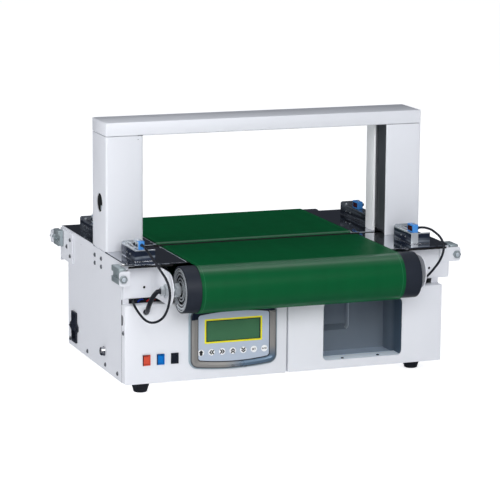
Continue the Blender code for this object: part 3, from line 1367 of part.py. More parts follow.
def make_decks():
    """The two polished decks, notched for the nose rollers and the post, with strap gap lips and brackets."""
    left, right = nose_ends()
    left -= LUG_SHEET
    right += LUG_SHEET
    tongue = SHEET + GAP + ARCH_WALL + GAP
    notch_front = ARCH_FRONT + POST_TONGUE_MARGIN - GAP
    notch_rear = ARCH_REAR - POST_TONGUE_MARGIN + GAP
    front_room = FRONT_NOSE - NOSE_RADIUS - NOSE_ROOM - BELT_SHEET
    rear_room = REAR_NOSE + NOSE_RADIUS + NOSE_ROOM + BELT_SHEET
    front_outline = [
        (DECK_CHAMFER, DECK_FRONT),
        (DECK_RIGHT - DECK_CHAMFER, DECK_FRONT),
        (DECK_RIGHT, DECK_FRONT + DECK_CHAMFER),
        (DECK_RIGHT, GAP_FRONT),
        (right - LAP, GAP_FRONT),
        (right - LAP, front_room),
        (left + LAP, front_room),
        (left + LAP, GAP_FRONT),
        (tongue, GAP_FRONT),
        (tongue, notch_front),
        (0.0, notch_front),
        (0.0, DECK_FRONT + DECK_CHAMFER),
    ]
    front = plate("front_deck", [front_outline], DECK_UNDER, DECK_SHEET, "XY", STEEL)
    edge = SHEET + GAP
    rear_outline = [
        (tongue, GAP_REAR),
        (left + LAP, GAP_REAR),
        (left + LAP, rear_room),
        (right - LAP, rear_room),
        (right - LAP, GAP_REAR),
        (DECK_RIGHT, GAP_REAR),
        (DECK_RIGHT, DECK_REAR),
        (edge, DECK_REAR),
        (edge, notch_rear),
        (tongue, notch_rear),
    ]
    rear = plate("rear_deck", [rear_outline], DECK_UNDER, DECK_SHEET, "XY", STEEL)
    for deck, name, y, wall_y in (
        (front, "front_deck", FRONT_NOSE, GAP_FRONT - DECK_SHEET),
        (rear, "rear_deck", REAR_NOSE, GAP_REAR),
    ):
        for side, start, end in (("left", tongue, left + LAP), ("right", right - LAP, BODY_WIDTH - edge)):
            lip = box(
                f"{name}_{side}_lip",
                (start, wall_y, DECK_UNDER - DECK_LIP),
                (end, wall_y + DECK_SHEET, DECK_UNDER + LAP),
            )
            join(deck, lip)
        add_lugs(deck, name, y, wall_y)
    for side, x in (("left", BRACKET_LEFT), ("right", BRACKET_RIGHT)):
        front_end = BRACKET_FRONT + BRACKET_FRONT_LENGTH
        add_bracket(front, f"front_{side}_bracket", x, BRACKET_FRONT, front_end, True)
        add_bracket(rear, f"rear_{side}_bracket", x, ARCH_REAR + BRACKET_POST_ROOM, BRACKET_REAR, False)


def make_sensors():
    """Photo sensors on the bracket shelves, their lens towards the belt and a boss for the cable."""
    width, length, height = SENSOR_SIZE
    left = BRACKET_LEFT + SENSOR_LEFT_INSET
    right = BRACKET_RIGHT + SENSOR_RIGHT_INSET
    for row, y in (("front", SENSOR_FRONT), ("rear", UPPER_REAR - SENSOR_REAR_INSET)):
        for side_name, side, x in (("left", 1, left), ("right", -1, right)):
            name = f"{row}_{side_name}_sensor"
            low = Vector((x, y, BRACKET_TOP + GAP))
            high = low + Vector(SENSOR_SIZE)
            sensor = box(name, low, high, SENSOR_BLUE, SENSOR_EDGE)
            lens_l = length * SENSOR_LENS_SHARES[0]
            lens_h = height * SENSOR_LENS_SHARES[1]
            face = high.x if side > 0 else low.x
            middle = (low + high) / 2
            xs = sorted((face - side * SENSOR_LENS_DEPTH, face + side * CUT_PAST))
            lens = box(
                name + "_lens_cutter",
                (xs[0], middle.y - lens_l / 2, middle.z - lens_h / 2),
                (xs[1], middle.y + lens_l / 2, middle.z + lens_h / 2),
            )
            cut(sensor, lens)
            z = middle.z + SENSOR_BOSS_RISE
            if side > 0:
                ends = along("Y", (middle.x, 0.0, z), low.y - SENSOR_BOSS_LENGTH, low.y + LAP)
                join(sensor, rod(name + "_boss", *ends, SENSOR_BOSS_RADIUS, "Y", steps=12))
            else:
                place = (0.0, low.y + SENSOR_BOSS_INSET, z)
                ends = along("X", place, high.x - LAP, high.x + SENSOR_BOSS_LENGTH)
                join(sensor, rod(name + "_boss", *ends, SENSOR_BOSS_RADIUS, "X", steps=12))


def post_loops(left, width):
    """Cross section of a post: a rounded box wall."""
    outer = rectangle(left, ARCH_FRONT, width, ARCH_DEPTH, ARCH_CORNER)
    inner = rectangle(
        left + ARCH_WALL,
        ARCH_FRONT + ARCH_WALL,
        width - 2 * ARCH_WALL,
        ARCH_DEPTH - 2 * ARCH_WALL,
        ARCH_CORNER - ARCH_WALL,
    )
    return [outer, inner]


def make_arch():
    height = POST_TOP - POST_FOOT
    left = plate("arch_left_post", post_loops(0.0, LEFT_POST_WIDTH), POST_FOOT, height, "XY", WHITE)
    slot = box(
        "left_slot_cutter",
        (LEFT_POST_WIDTH - ARCH_WALL - CUT_PAST, STRAP_SLOT_FRONT, POST_FOOT - CUT_PAST),
        (LEFT_POST_WIDTH + CUT_PAST, STRAP_SLOT_FRONT + STRAP_SLOT, POST_TOP + CUT_PAST),
    )
    hole_y, hole_z = POST_HOLE
    hole = rod(
        "post_hole_cutter",
        *along("X", (0.0, hole_y, hole_z), -CUT_PAST, ARCH_WALL + CUT_PAST),
        POST_HOLE_RADIUS, "X",
    )
    cut(left, slot, hole)
    tongue = box(
        "post_tongue",
        (SHEET + GAP, ARCH_FRONT + POST_TONGUE_MARGIN, DECK_TOP - POST_TONGUE_DROP),
        (SHEET + GAP + ARCH_WALL, ARCH_REAR - POST_TONGUE_MARGIN, POST_FOOT + POST_TONGUE_DROP / 2),
    )
    join(left, tongue)
    inner_face = ARCH_WIDTH - RIGHT_POST_WIDTH
    right = plate("arch_right_post", post_loops(inner_face, RIGHT_POST_WIDTH), POST_FOOT, height, "XY", WHITE)
    channel_front = ARCH_FRONT + ARCH_WALL
    opening = box(
        "right_slot_cutter",
        (inner_face - CUT_PAST, channel_front, POST_FOOT - CUT_PAST),
        (inner_face + ARCH_WALL + CUT_PAST, STRAP_SLOT_FRONT + GUIDE_PAST_SLOT + STRAP_SLOT, POST_TOP + CUT_PAST),
    )
    cut(right, opening)
    make_guide(inner_face, channel_front + GAP)
    make_bar()


def make_guide(face, front):
    """The dark strap guide in the right post, flared at its foot towards the strap gap."""
    rear = STRAP_SLOT_FRONT + GUIDE_PAST_SLOT - GAP
    back = face + GUIDE_DEPTH
    outline = [
        (face, POST_FOOT + GUIDE_FLARE),
        (face + GUIDE_FLARE, POST_FOOT),
        (back, POST_FOOT),
        (back, POST_TOP),
        (face, POST_TOP),
    ]
    guide = plate("strap_guide", [rounded(outline)], front, rear - front, "XZ", GUIDE_GREY)
    middle = (GAP_FRONT + GAP_REAR) / 2
    groove = box(
        "guide_groove_cutter",
        (face - CUT_PAST, middle - GUIDE_GROOVE / 2, POST_FOOT - CUT_PAST),
        (face + GUIDE_GROOVE / 2, middle + GUIDE_GROOVE / 2, POST_TOP + CUT_PAST),
    )
    cut(guide, groove)


def make_bar():
    bar = box(
        "arch_top_bar", (0.0, ARCH_FRONT, BAR_BOTTOM), (ARCH_WIDTH, ARCH_REAR, ARCH_TOP), WHITE, BAR_EDGE
    )
    hollow = box(
        "bar_hollow",
        (ARCH_WALL, ARCH_FRONT + ARCH_WALL, BAR_BOTTOM + ARCH_WALL),
        (ARCH_WIDTH - ARCH_WALL, ARCH_REAR - ARCH_WALL, ARCH_TOP - ARCH_WALL),
    )
    slot = box(
        "bar_slot_cutter",
        (LEFT_POST_WIDTH / 2, STRAP_SLOT_FRONT, BAR_BOTTOM - CUT_PAST),
        (ARCH_WIDTH - LEFT_POST_WIDTH / 2, STRAP_SLOT_FRONT + STRAP_SLOT, BAR_BOTTOM + ARCH_WALL + CUT_PAST),
    )
    cut(bar, hollow, slot)


def make_sealing_head():
    """The head below the strap gap: stand, feed wheels in front, anvil in the gap and motor behind."""
    middle_y = (GAP_FRONT + GAP_REAR) / 2
    front = middle_y - HEAD_DEPTH / 2
    rear = middle_y + HEAD_DEPTH / 2
    middle_x = HEAD_LEFT + HEAD_WIDTH / 2
    floor = SHEET + GAP
    head = box(
        "sealing_head", (HEAD_LEFT, front, floor), (HEAD_LEFT + HEAD_WIDTH, rear, HEAD_HEIGHT), GREY, HEAD_EDGE
    )
    anvil = box(
        "anvil",
        (middle_x - ANVIL_WIDTH / 2, middle_y - ANVIL_DEPTH / 2, HEAD_HEIGHT - CUT_PAST),
        (middle_x + ANVIL_WIDTH / 2, middle_y + ANVIL_DEPTH / 2, ANVIL_HEIGHT),
    )
    join(head, anvil)
    for name, side in (("left", -1), ("right", 1)):
        place = (middle_x + side * FEED_WHEEL_SPREAD / 2, 0.0, FEED_WHEEL_HEIGHT)
        ends = along("Y", place, front - FEED_WHEEL_WIDTH, front + LAP)
        join(head, rod(f"{name}_feed_wheel", *ends, FEED_WHEEL_RADIUS, "Y"))
    ends = along("Y", (middle_x, 0.0, HEAD_MOTOR_HEIGHT), rear - LAP, rear + HEAD_MOTOR_LENGTH)
    join(head, rod("head_motor", *ends, HEAD_MOTOR_RADIUS, "Y"))


def smooth_route(route, step, side_x):
    """Evenly spaced points on a smooth curve through a route's own points, inward from its side."""
    inward = 1 if side_x == 0.0 else -1
    points = [Vector((side_x + inward * x * MM, y * MM, AXIS_HEIGHT + z * MM)) for x, y, z in route]
    padded = [2 * points[0] - points[1], *points, 2 * points[-1] - points[-2]]
    fine = []
    for a, b, c, d in zip(padded, padded[1:], padded[2:], padded[3:]):
        for k in range(12):
            t = k / 12
            fine.append(
                0.5 * ((2 * b) + (c - a) * t + (2 * a - 5 * b + 4 * c - d) * t**2 + (3 * b - a - 3 * c + d) * t**3)
            )
    fine.append(points[-1])
    lengths = [0.0]
    for start, end in zip(fine, fine[1:]):
        lengths.append(lengths[-1] + (end - start).length)
    count = max(2, round(lengths[-1] / step))
    even = []
    place = 0
    for k in range(count + 1):
        target = lengths[-1] * k / count
        while place < len(fine) - 2 and lengths[place + 1] < target:
            place += 1
        part = (target - lengths[place]) / (lengths[place + 1] - lengths[place])
        even.append(fine[place].lerp(fine[place + 1], part))
    return even


def cable(name, route, radius, step, side_x, finish):
    curve = bpy.data.curves.new(name, "CURVE")
    curve.dimensions = "3D"
    curve.bevel_depth = radius
    curve.bevel_resolution = 2
    curve.use_fill_caps = True
    points = smooth_route(route, 2 * radius * step, side_x)
    spline = curve.splines.new("POLY")
    spline.points.add(len(points) - 1)
    for place, point in zip(spline.points, points):
        place.co = (*point, 1.0)
    add_object(name, curve, finish)


def make_cables():
    step = CABLE_STEP_DIAMETERS_SHARE
    cable("left_sensor_cable", LEFT_CABLE_ROUTE, SENSOR_CABLE_RADIUS, step, 0.0, BLACK)
    cable("right_sensor_cable", RIGHT_CABLE_ROUTE, SENSOR_CABLE_RADIUS, step, FRAME_WIDTH, BLACK)
    cable("motor_cable", MOTOR_CABLE_ROUTE, MOTOR_CABLE_RADIUS, MOTOR_STEP_DIAMETERS_SHARE, 0.0, BLACK)


def main():
    make_chassis()
    make_feet()
    make_left_side()
    make_right_side()
    make_left_cover()
    make_right_cover()
    make_bay()
    make_switches()
    make_keypad()
    make_inlet()
    make_signal_socket()
    make_corners()
    make_drums()
    make_nose_rollers()
    make_belts()
    make_decks()
    make_sensors()
    make_arch()
    make_sealing_head()
    make_cables()


main()
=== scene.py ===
"""Dressing for a banknote strapping machine: powder coat, polished decks, PVC belts over rubber
lagged drums, keypad print, photo sensors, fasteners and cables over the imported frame.

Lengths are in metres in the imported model's frame. Places on the machine are given in millimetres
from the cabinet's lower left front corner, as a maker would read them off the panels.
"""

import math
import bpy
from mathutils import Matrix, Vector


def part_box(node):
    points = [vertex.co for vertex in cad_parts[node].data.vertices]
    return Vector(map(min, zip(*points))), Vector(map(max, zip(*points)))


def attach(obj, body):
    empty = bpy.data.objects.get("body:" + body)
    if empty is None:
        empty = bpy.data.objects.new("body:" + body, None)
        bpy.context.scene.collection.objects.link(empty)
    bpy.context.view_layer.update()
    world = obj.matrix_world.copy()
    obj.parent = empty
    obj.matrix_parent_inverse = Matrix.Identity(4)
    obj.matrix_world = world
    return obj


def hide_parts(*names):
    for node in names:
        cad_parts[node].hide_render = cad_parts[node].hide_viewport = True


bl_info = {
    "name": "Banknote Strapping Machine",
    "version": (1, 0, 0),
    "blender": (4, 5, 0),
    "location": "3D View > Sidebar > Strapping",
    "description": "Dresses the packed banknote strapping machine with its finished pieces and materials",
    "category": "Object",
}

import bmesh
import bpy
from bpy.props import FloatProperty, FloatVectorProperty, PointerProperty
from mathutils import Matrix, Vector

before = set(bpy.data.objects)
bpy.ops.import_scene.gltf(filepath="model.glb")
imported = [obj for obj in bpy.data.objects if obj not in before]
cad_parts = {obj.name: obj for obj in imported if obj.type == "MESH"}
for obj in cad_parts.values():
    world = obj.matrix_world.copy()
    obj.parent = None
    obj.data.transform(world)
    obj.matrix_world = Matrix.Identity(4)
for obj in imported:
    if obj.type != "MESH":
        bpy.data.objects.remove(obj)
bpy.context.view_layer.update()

MM = 0.001
CABINET_CORNER = Vector((-0.32325, -0.182, 0.024))
X = Vector((1, 0, 0))
Y = Vector((0, 1, 0))
Z = Vector((0, 0, 1))
AXES = {"X": (X, Y, Z), "Y": (Y, Z, X), "Z": (Z, X, Y)}
MACHINE = "machine"
FINISHES = {}
GROUPS = {}

# Places that several pieces share, in millimetres from the cabinet's corner
DRUM_MIDDLE = 309.5
BELT_MIDDLE = 306.5
AXLE_HEIGHT = 180
NOSE_HEIGHT = 214
AXLE_DEPTHS = {"front": -54.0, "rear": 418.0}
NOSE_DEPTHS = {"front": 132.0, "rear": 170.0}


def spot(x, y, z):
    """A place in millimetres from the cabinet's corner, in the frame's metres."""
    return Vector((x, y, z)) * MM + CABINET_CORNER


# Angles in degrees and distances in metres for cleaning and shading a mesh
SHARP_ANGLE = 35.0
FLAT_ANGLE = 0.6
BEVEL_ANGLE = 40.0
WELD_DISTANCE = 0.000004
BELT_WELD_DISTANCE = 0.000001

# Sides of round pieces, from small to large
FINE_PIN_SIDES = 16
DOT_SIDES = 20
KNOB_SIDES = 24
BOOT_SIDES = 32
PIN_SIDES = 40
BAR_SIDES = 48
RING_SIDES = 64
DISC_SIDES = 96
DRUM_SIDES = 128

# Roundings of edges, in metres
SLIP_EDGE = 0.0001
STRIP_EDGE = 0.0004
CASE_EDGE = 0.0011
DUCT_EDGE = 0.001
FINE_EDGE = 0.00015
SMALL_EDGE = 0.0003
ROCKER_EDGE = 0.0004
GUIDE_EDGE = 0.0005
HEAD_EDGE = 0.0006
ARCH_FOLD_SHARE = 1.4


# Settings that a user would change

def colour_setting(name, description, default):
    return FloatVectorProperty(
        name=name, description=description, subtype="COLOR", size=3, min=0.0, max=1.0, default=default
    )


def length_setting(name, description, default):
    return FloatProperty(
        name=name, description=description, default=default, min=0.0, precision=5,
        subtype="DISTANCE", unit="LENGTH",
    )


class CabinetSettings(bpy.types.PropertyGroup):
    """Sheet metal of the cabinet and the arch."""

    paint: colour_setting("Powder coat", "Colour of the painted sheet metal", (0.80, 0.815, 0.86))
    paint_roughness: FloatProperty(name="Coat roughness", description="Roughness of the coat", default=0.36)
    fold: length_setting("Folded edge", "Radius of the rounding on cut and folded edges", 0.00035)
    head: length_setting("Screw head", "Diameter of the panel screws' heads", 0.0080)


class ConveyorSettings(bpy.types.PropertyGroup):
    """Belts, drums and decks."""

    belt: colour_setting("Belt", "Colour of the PVC belts", (0.001, 0.094, 0.028))
    rubber: colour_setting("Lagging", "Colour of the drums' rubber lagging", (0.014, 0.018, 0.028))
    steel: colour_setting("Polished steel", "Colour of the decks", (0.60, 0.62, 0.66))
    belt_width: length_setting("Belt width", "Width of both belts", 0.389)
    belt_sheet: length_setting("Belt thickness", "Thickness of both belts", 0.0017)
    drum_radius: length_setting("Drum radius", "Radius over the lagging", 0.042)
    drum_length: length_setting("Drum length", "Face length of both drums", 0.450)
    nose_radius: length_setting("Nose radius", "Radius of the nose rollers", 0.008)
    running_gap: length_setting("Belt clearance", "Gap between belt and drum", 0.0003)


class KeypadSettings(bpy.types.PropertyGroup):
    """Keypad, display and switches."""

    bezel: colour_setting("Bezel", "Colour of the moulded bezel", (0.375, 0.36, 0.345))
    film: colour_setting("Membrane", "Colour of the printed membrane", (0.47, 0.54, 0.65))
    display: colour_setting("Display", "Colour of the display", (0.052, 0.152, 0.076))
    outline: colour_setting("Display frame", "Colour of the printed frame", (0.88, 0.82, 0.01))
    red: colour_setting("Red switch", "Colour of the red switch", (0.70, 0.085, 0.045))
    blue: colour_setting("Blue switch", "Colour of the blue switch", (0.0, 0.165, 0.56))


class CableSettings(bpy.types.PropertyGroup):
    """Cables of the sensors and of the drum motor."""

    sensor: length_setting("Sensor cable", "Diameter of the sensor cables", 0.0044)
    motor: length_setting("Motor cable", "Diameter of the motor cable", 0.0084)


class StageSettings(bpy.types.PropertyGroup):
    """Floor, light and camera."""

    floor: colour_setting("Floor", "Colour of the floor", (0.93, 0.93, 0.93))
    key: FloatProperty(name="Front light", description="Power of the front soft light", default=60.0)
    side: FloatProperty(name="Side light", description="Power of the left soft light", default=36.0)
    top: FloatProperty(name="Top light", description="Power of the overhead soft light", default=0.5)
    crest: FloatProperty(name="Rim light", description="Power of the strip light above the drum", default=6.5)
    sky: FloatProperty(name="Surround", description="Strength of the surround", default=0.55)
    lens: FloatProperty(name="Lens", description="Focal length in millimetres", default=177.19)


# Outlines and shapes

def arc_at(before, here, after, radius, steps):
    """Points of the arc that rounds a corner in the plane."""
    to_before = (before - here).normalized()
    to_after = (after - here).normalized()
    half = to_before.angle(to_after) / 2
    centre = here + (to_before + to_after).normalized() * (radius / math.sin(half))
    first = here + to_before * (radius / math.tan(half)) - centre
    last = here + to_after * (radius / math.tan(half)) - centre
    start = math.atan2(first.y, first.x)
    sweep = (math.atan2(last.y, last.x) - start + math.pi) % (2 * math.pi) - math.pi
    turns = [start + sweep * k / steps for k in range(steps + 1)]
    return [centre + Vector((math.cos(t), math.sin(t))) * radius for t in turns]


def rounded(corners, radius, steps=8):
    """A closed outline with every corner rounded; a corner may carry its own radius."""
    points = []
    for i, corner in enumerate(corners):
        here = Vector(corner[:2])
        own = corner[2] if len(corner) > 2 else radius
        if not own:
            points.append(here)
            continue
        before = Vector(corners[i - 1][:2])
        after = Vector(corners[(i + 1) % len(corners)][:2])
        points += arc_at(before, here, after, own, steps)
    return points


def rectangle(left, bottom, right, top, radius, steps=8):
    return rounded([(left, bottom), (right, bottom), (right, top), (left, top)], radius, steps)


def circle(x, y, radius, steps=32):
    turns = [2 * math.pi * k / steps for k in range(steps)]
    return [Vector((x + math.cos(t) * radius, y + math.sin(t) * radius)) for t in turns]


def barrel(centre, bottom, width, height, bulge, corner, steps=14):
    """A rectangle with bowed long edges and rounded corners, in millimetres."""
    left = centre - width / 2
    half = width / 2 - corner
    bowed = []
    for k in range(1, steps):
        u = -half + 2 * half * k / steps
        bowed.append((centre + u, bulge * (1 - (2 * u / width) ** 2)))
    corners = [(left, bottom, corner)]
    corners += [(u, bottom - rise, 0.0) for u, rise in bowed]
    corners += [(left + width, bottom, corner), (left + width, bottom + height, corner)]
    corners += [(u, bottom + height + rise, 0.0) for u, rise in reversed(bowed)]
    corners += [(left, bottom + height, corner)]
    return rounded(corners, corner)


def on_front(outline, y):
    """An outline in x and z, set at a depth y of the machine."""
    return [spot(point.x, y, point.y) for point in outline]


def on_side(outline, x):
    """An outline in y and z, set at a width x of the machine."""
    return [spot(x, point.x, point.y) for point in outline]


def on_top(outline, z):
    return [spot(point.x, point.y, z) for point in outline]


def lofted(loops, ring=False, caps=True):
    """Skins loops that have the same number of points; a ring joins its last loop to its first."""
    shape = bmesh.new()
    rows = [[shape.verts.new(point) for point in loop] for loop in loops]
    pairs = list(zip(rows, rows[1:]))
    if ring:
        pairs.append((rows[-1], rows[0]))
    count = len(rows[0])
    for a, b in pairs:
        for k in range(count):
            n = (k + 1) % count
            shape.faces.new((a[k], a[n], b[n], b[k]))
    if caps and not ring:
        shape.faces.new(rows[0])
        shape.faces.new(list(reversed(rows[-1])))
    bmesh.ops.recalc_face_normals(shape, faces=shape.faces)
    return shape


def slab(loop, depth):
    """A flat outline given a thickness along a vector."""
    return lofted([loop, [point + depth for point in loop]])


def framed(outer, inner, depth):
    """A flat ring between two outlines, given a thickness along a vector."""
    return lofted([outer, inner, [p + depth for p in inner], [p + depth for p in outer]], ring=True)


def turned(profile, centre, axis, steps=RING_SIDES, closed=False, unit=MM):
    """A solid turned about an axis through a centre. The profile holds (radius, place along the axis)."""
    along, u, v = AXES[axis]
    turns = [2 * math.pi * k / steps for k in range(steps)]
    shape = bmesh.new()
    rings = []
    for radius, place in profile:
        middle = centre + along * (place * unit)
        reach = radius * unit
        ring = []
        for t in turns if radius else turns[:1]:
            ring.append(shape.verts.new(middle + (u * math.cos(t) + v * math.sin(t)) * reach))
        rings.append(ring)
    pairs = list(zip(rings, rings[1:]))
    if closed:
        pairs.append((rings[-1], rings[0]))
    for a, b in pairs:
        for k in range(steps):
            n = (k + 1) % steps
            if len(a) == 1:
                shape.faces.new((a[0], b[k], b[n]))
            elif len(b) == 1:
                shape.faces.new((a[k], b[0], a[n]))
            else:
                shape.faces.new((a[k], b[k], b[n], a[n]))
    bmesh.ops.recalc_face_normals(shape, faces=shape.faces)
    return shape


def softened(shape, width, segments=2, sharper=30.0):
    """Rounds the shape's edges that turn by more than an angle."""
    limit = math.radians(sharper)
    folds = [side for side in shape.edges if len(side.link_faces) == 2 and side.calc_face_angle(0.0) > limit]
    bmesh.ops.bevel(
        shape, geom=folds, offset=width, segments=segments, profile=0.5, affect="EDGES", clamp_overlap=True
    )
    return shape


def block(low, high, edge=0.0, segments=2):
    shape = bmesh.new()
    bmesh.ops.create_cube(shape, size=1.0)
    bmesh.ops.scale(shape, vec=high - low, verts=shape.verts)
    bmesh.ops.translate(shape, vec=(low + high) / 2, verts=shape.verts)
    return softened(shape, edge, segments) if edge else shape


def block_between(low, high, edge=0.0):
    """A block between two corners given in millimetres."""
    return block(spot(*low), spot(*high), edge)


def blocks(rows):
    return [block_between(low, high) for low, high in rows]


def disc(centre, axis, radius, start, end, steps):
    """A plain disc or pin between two places on an axis, in millimetres."""
    return turned(((0.0, start), (radius, start), (radius, end), (0.0, end)), centre, axis, steps)


def hexagon(centre, axis, flats, start, end, edge):
    """A hex nut in millimetres along an axis, with its points turned down at both faces."""
    along, u, v = AXES[axis]
    reach = flats / math.sqrt(3) * MM
    loops = []
    for place, share in ((start, 0.90), (start + edge, 1.0), (end - edge, 1.0), (end, 0.90)):
        middle = centre + along * (place * MM)
        turns = [math.pi / 6 + math.pi / 3 * k for k in range(6)]
        loops.append([middle + (u * math.cos(t) + v * math.sin(t)) * reach * share for t in turns])
    return lofted(loops)


def merged(*shapes):
    """Several shapes in one mesh."""
    whole = bmesh.new()
    for shape in shapes:
        part = bpy.data.meshes.new("part")
        shape.to_mesh(part)
        shape.free()
        whole.from_mesh(part)
        bpy.data.meshes.remove(part)
    return whole


def piece(name, shape, finish, body=MACHINE, nodes=(), smooth=SHARP_ANGLE):
    """A finished object from a shape: its finish, its body and the CAD nodes that it stands for."""
    mesh = bpy.data.meshes.new(name)
    shape.to_mesh(mesh)
    shape.free()
    return dressed(name, mesh, finish, body, nodes, smooth)


def dressed(name, data, finish, body=MACHINE, nodes=(), smooth=SHARP_ANGLE):
    thing = bpy.data.objects.new(name, data)
    bpy.context.scene.collection.objects.link(thing)
    material, slot = FINISHES[finish]
    data.materials.clear()
    data.materials.append(material)
    if smooth and thing.type == "MESH":
        data.shade_smooth()
        data.set_sharp_from_angle(angle=math.radians(smooth))
    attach(thing, body)
    if nodes:
        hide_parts(*nodes)
    return thing


def node_copy(node, finish, edge, body=MACHINE, segments=2):
    """A copy of a CAD solid, welded and with its edges rounded, that stands for the node."""
    shape = bmesh.new()
    shape.from_mesh(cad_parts[node].data)
    bmesh.ops.remove_doubles(shape, verts=shape.verts, dist=WELD_DISTANCE)
    bmesh.ops.dissolve_limit(
        shape, angle_limit=math.radians(FLAT_ANGLE), verts=shape.verts, edges=shape.edges, delimit={"NORMAL"}
    )
    name = node + "_finished"
    mesh = bpy.data.meshes.new(name)
    shape.to_mesh(mesh)
    shape.free()
    for layer in ("custom_normal", "sharp_edge", "sharp_face"):
        if layer in mesh.attributes:
            mesh.attributes.remove(mesh.attributes[layer])
    mesh.shade_smooth()
    mesh.set_sharp_from_angle(angle=math.radians(SHARP_ANGLE))
    thing = dressed(name, mesh, finish, body, (node,), smooth=0.0)
    bevel = thing.modifiers.new("rounded_edges", "BEVEL")
    bevel.width = edge
    bevel.segments = segments
    bevel.limit_method = "ANGLE"
    bevel.angle_limit = math.radians(BEVEL_ANGLE)
    bevel.harden_normals = True
    return thing


def smooth_line(points, step):
    """Evenly spaced points on a smooth curve through the given ones."""
    padded = [2 * points[0] - points[1], *points, 2 * points[-1] - points[-2]]
    fine = []
    for a, b, c, d in zip(padded, padded[1:], padded[2:], padded[3:]):
        for k in range(16):
            t = k / 16
            bend = (2 * a - 5 * b + 4 * c - d) * t**2 + (3 * b - a - 3 * c + d) * t**3
            fine.append(0.5 * (2 * b + (c - a) * t + bend))
    fine.append(points[-1])
    run = [0.0]
    for start, end in zip(fine, fine[1:]):
        run.append(run[-1] + (end - start).length)
    count = max(4, round(run[-1] / step))
    even = []
    place = 0
    for k in range(count + 1):
        goal = run[-1] * k / count
        while place < len(fine) - 2 and run[place + 1] < goal:
            place += 1
        share = (goal - run[place]) / (run[place + 1] - run[place])
        even.append(fine[place].lerp(fine[place + 1], share))
    return even


def line_length(points):
    return sum((end - start).length for start, end in zip(points, points[1:]))


def open_line(name, points):
    """A curve of one open spline along points."""
    curve = bpy.data.curves.new(name, "CURVE")
    curve.dimensions = "3D"
    spline = curve.splines.new("POLY")
    spline.points.add(len(points) - 1)
    for knot, point in zip(spline.points, points):
        knot.co = (*point, 1.0)
    return curve


def tube(name, points, radius):
    """A round tube along points."""
    curve = open_line(name, points)
    curve.bevel_depth = radius
    curve.bevel_resolution = 5
    curve.use_fill_caps = True
    curve.splines[0].use_smooth = True
    return curve


# Node trees

class Value:
    """A node's output that can be reckoned with; each step adds a node to the output's own tree."""

    def __init__(self, socket):
        self.socket = socket
        self.tree = socket.id_data

    def step(self, operation, other=0.0):
        node = self.tree.nodes.new("ShaderNodeMath")
        node.operation = operation
        feed(node.inputs[0], self)
        feed(node.inputs[1], other)
        return Value(node.outputs[0])

    def __add__(self, other):
        return self.step("ADD", other)

    def __sub__(self, other):
        return self.step("SUBTRACT", other)

    def __mul__(self, other):
        return self.step("MULTIPLY", other)

    def __abs__(self):
        return self.step("ABSOLUTE")

    def ramp(self, low, high, start=0.0, end=1.0):
        """Draws the stretch from low to high out to run from start to end."""
        node = add(
            self.tree, "ShaderNodeMapRange", Value=self, From_Min=low, From_Max=high, To_Min=start, To_Max=end
        )
        return Value(node.outputs["Result"])

    def stretched(self, scale):
        """The vector drawn out by a scale on each axis."""
        return Value(add(self.tree, "ShaderNodeMapping", Vector=self, Scale=scale).outputs[0])

    def noise(self, scale=1.0, detail=3.0, roughness=0.55):
        node = self.tree.nodes.new("ShaderNodeTexNoise")
        fill(node, Vector=self, Scale=scale, Detail=detail, Roughness=roughness)
        return Value(node.outputs["Fac"])


def feed(socket, value):
    """Links a node, an output or a reckoned value to a socket, or sets the socket to a plain value."""
    if isinstance(value, Value):
        value = value.socket
    elif isinstance(value, bpy.types.Node):
        value = value.outputs[0]
    if isinstance(value, bpy.types.NodeSocket):
        socket.id_data.links.new(value, socket)
    else:
        socket.default_value = value


def fill(node, **inputs):
    """Feeds a node's named inputs, where an underscore stands for a space."""
    for label, value in inputs.items():
        feed(node.inputs[label.replace("_", " ")], value)
    return node


def add(tree, kind, **inputs):
    return fill(tree.nodes.new(kind), **inputs)


def new_group(name, kind, inputs, outputs):
    """A node group with named inputs and outputs: its tree, its inputs as values and its output node."""
    tree = bpy.data.node_groups.new(name, kind + "NodeTree")
    for label, sort, default in inputs:
        socket = tree.interface.new_socket(label, in_out="INPUT", socket_type="NodeSocket" + sort)
        if default is not None:
            socket.default_value = default
    for label, sort in outputs:
        tree.interface.new_socket(label, in_out="OUTPUT", socket_type="NodeSocket" + sort)
    sockets = tree.nodes.new("NodeGroupInput").outputs
    given = {row[0]: Value(sockets[row[0]]) for row in inputs}
    return tree, given, tree.nodes.new("NodeGroupOutput")


# Geometry Nodes

# A screw head's shares are of its radius and its height
HEAD_SIDES = 24
SHOULDER_SHARE = 0.94
CROWN_SHARE = 0.62
RIM_HEIGHT_SHARE = 0.55
CROWN_HEIGHT_SHARE = 0.45
RECESS_LENGTH_SHARE = 1.15
RECESS_WIDTH_SHARE = 0.24
HEAD_HEIGHT_SHARE = 0.30
SEAT_SHARE = 1.22
SEAT_THICKNESS = 0.0004


def finish_tree(tree, given, out, geometry):
    """Realizes the instances and sets the material at the tree's end."""
    real = add(tree, "GeometryNodeRealizeInstances", Geometry=geometry)
    feed(out.inputs[0], add(tree, "GeometryNodeSetMaterial", Geometry=real, Material=given["Finish"]))
    return tree


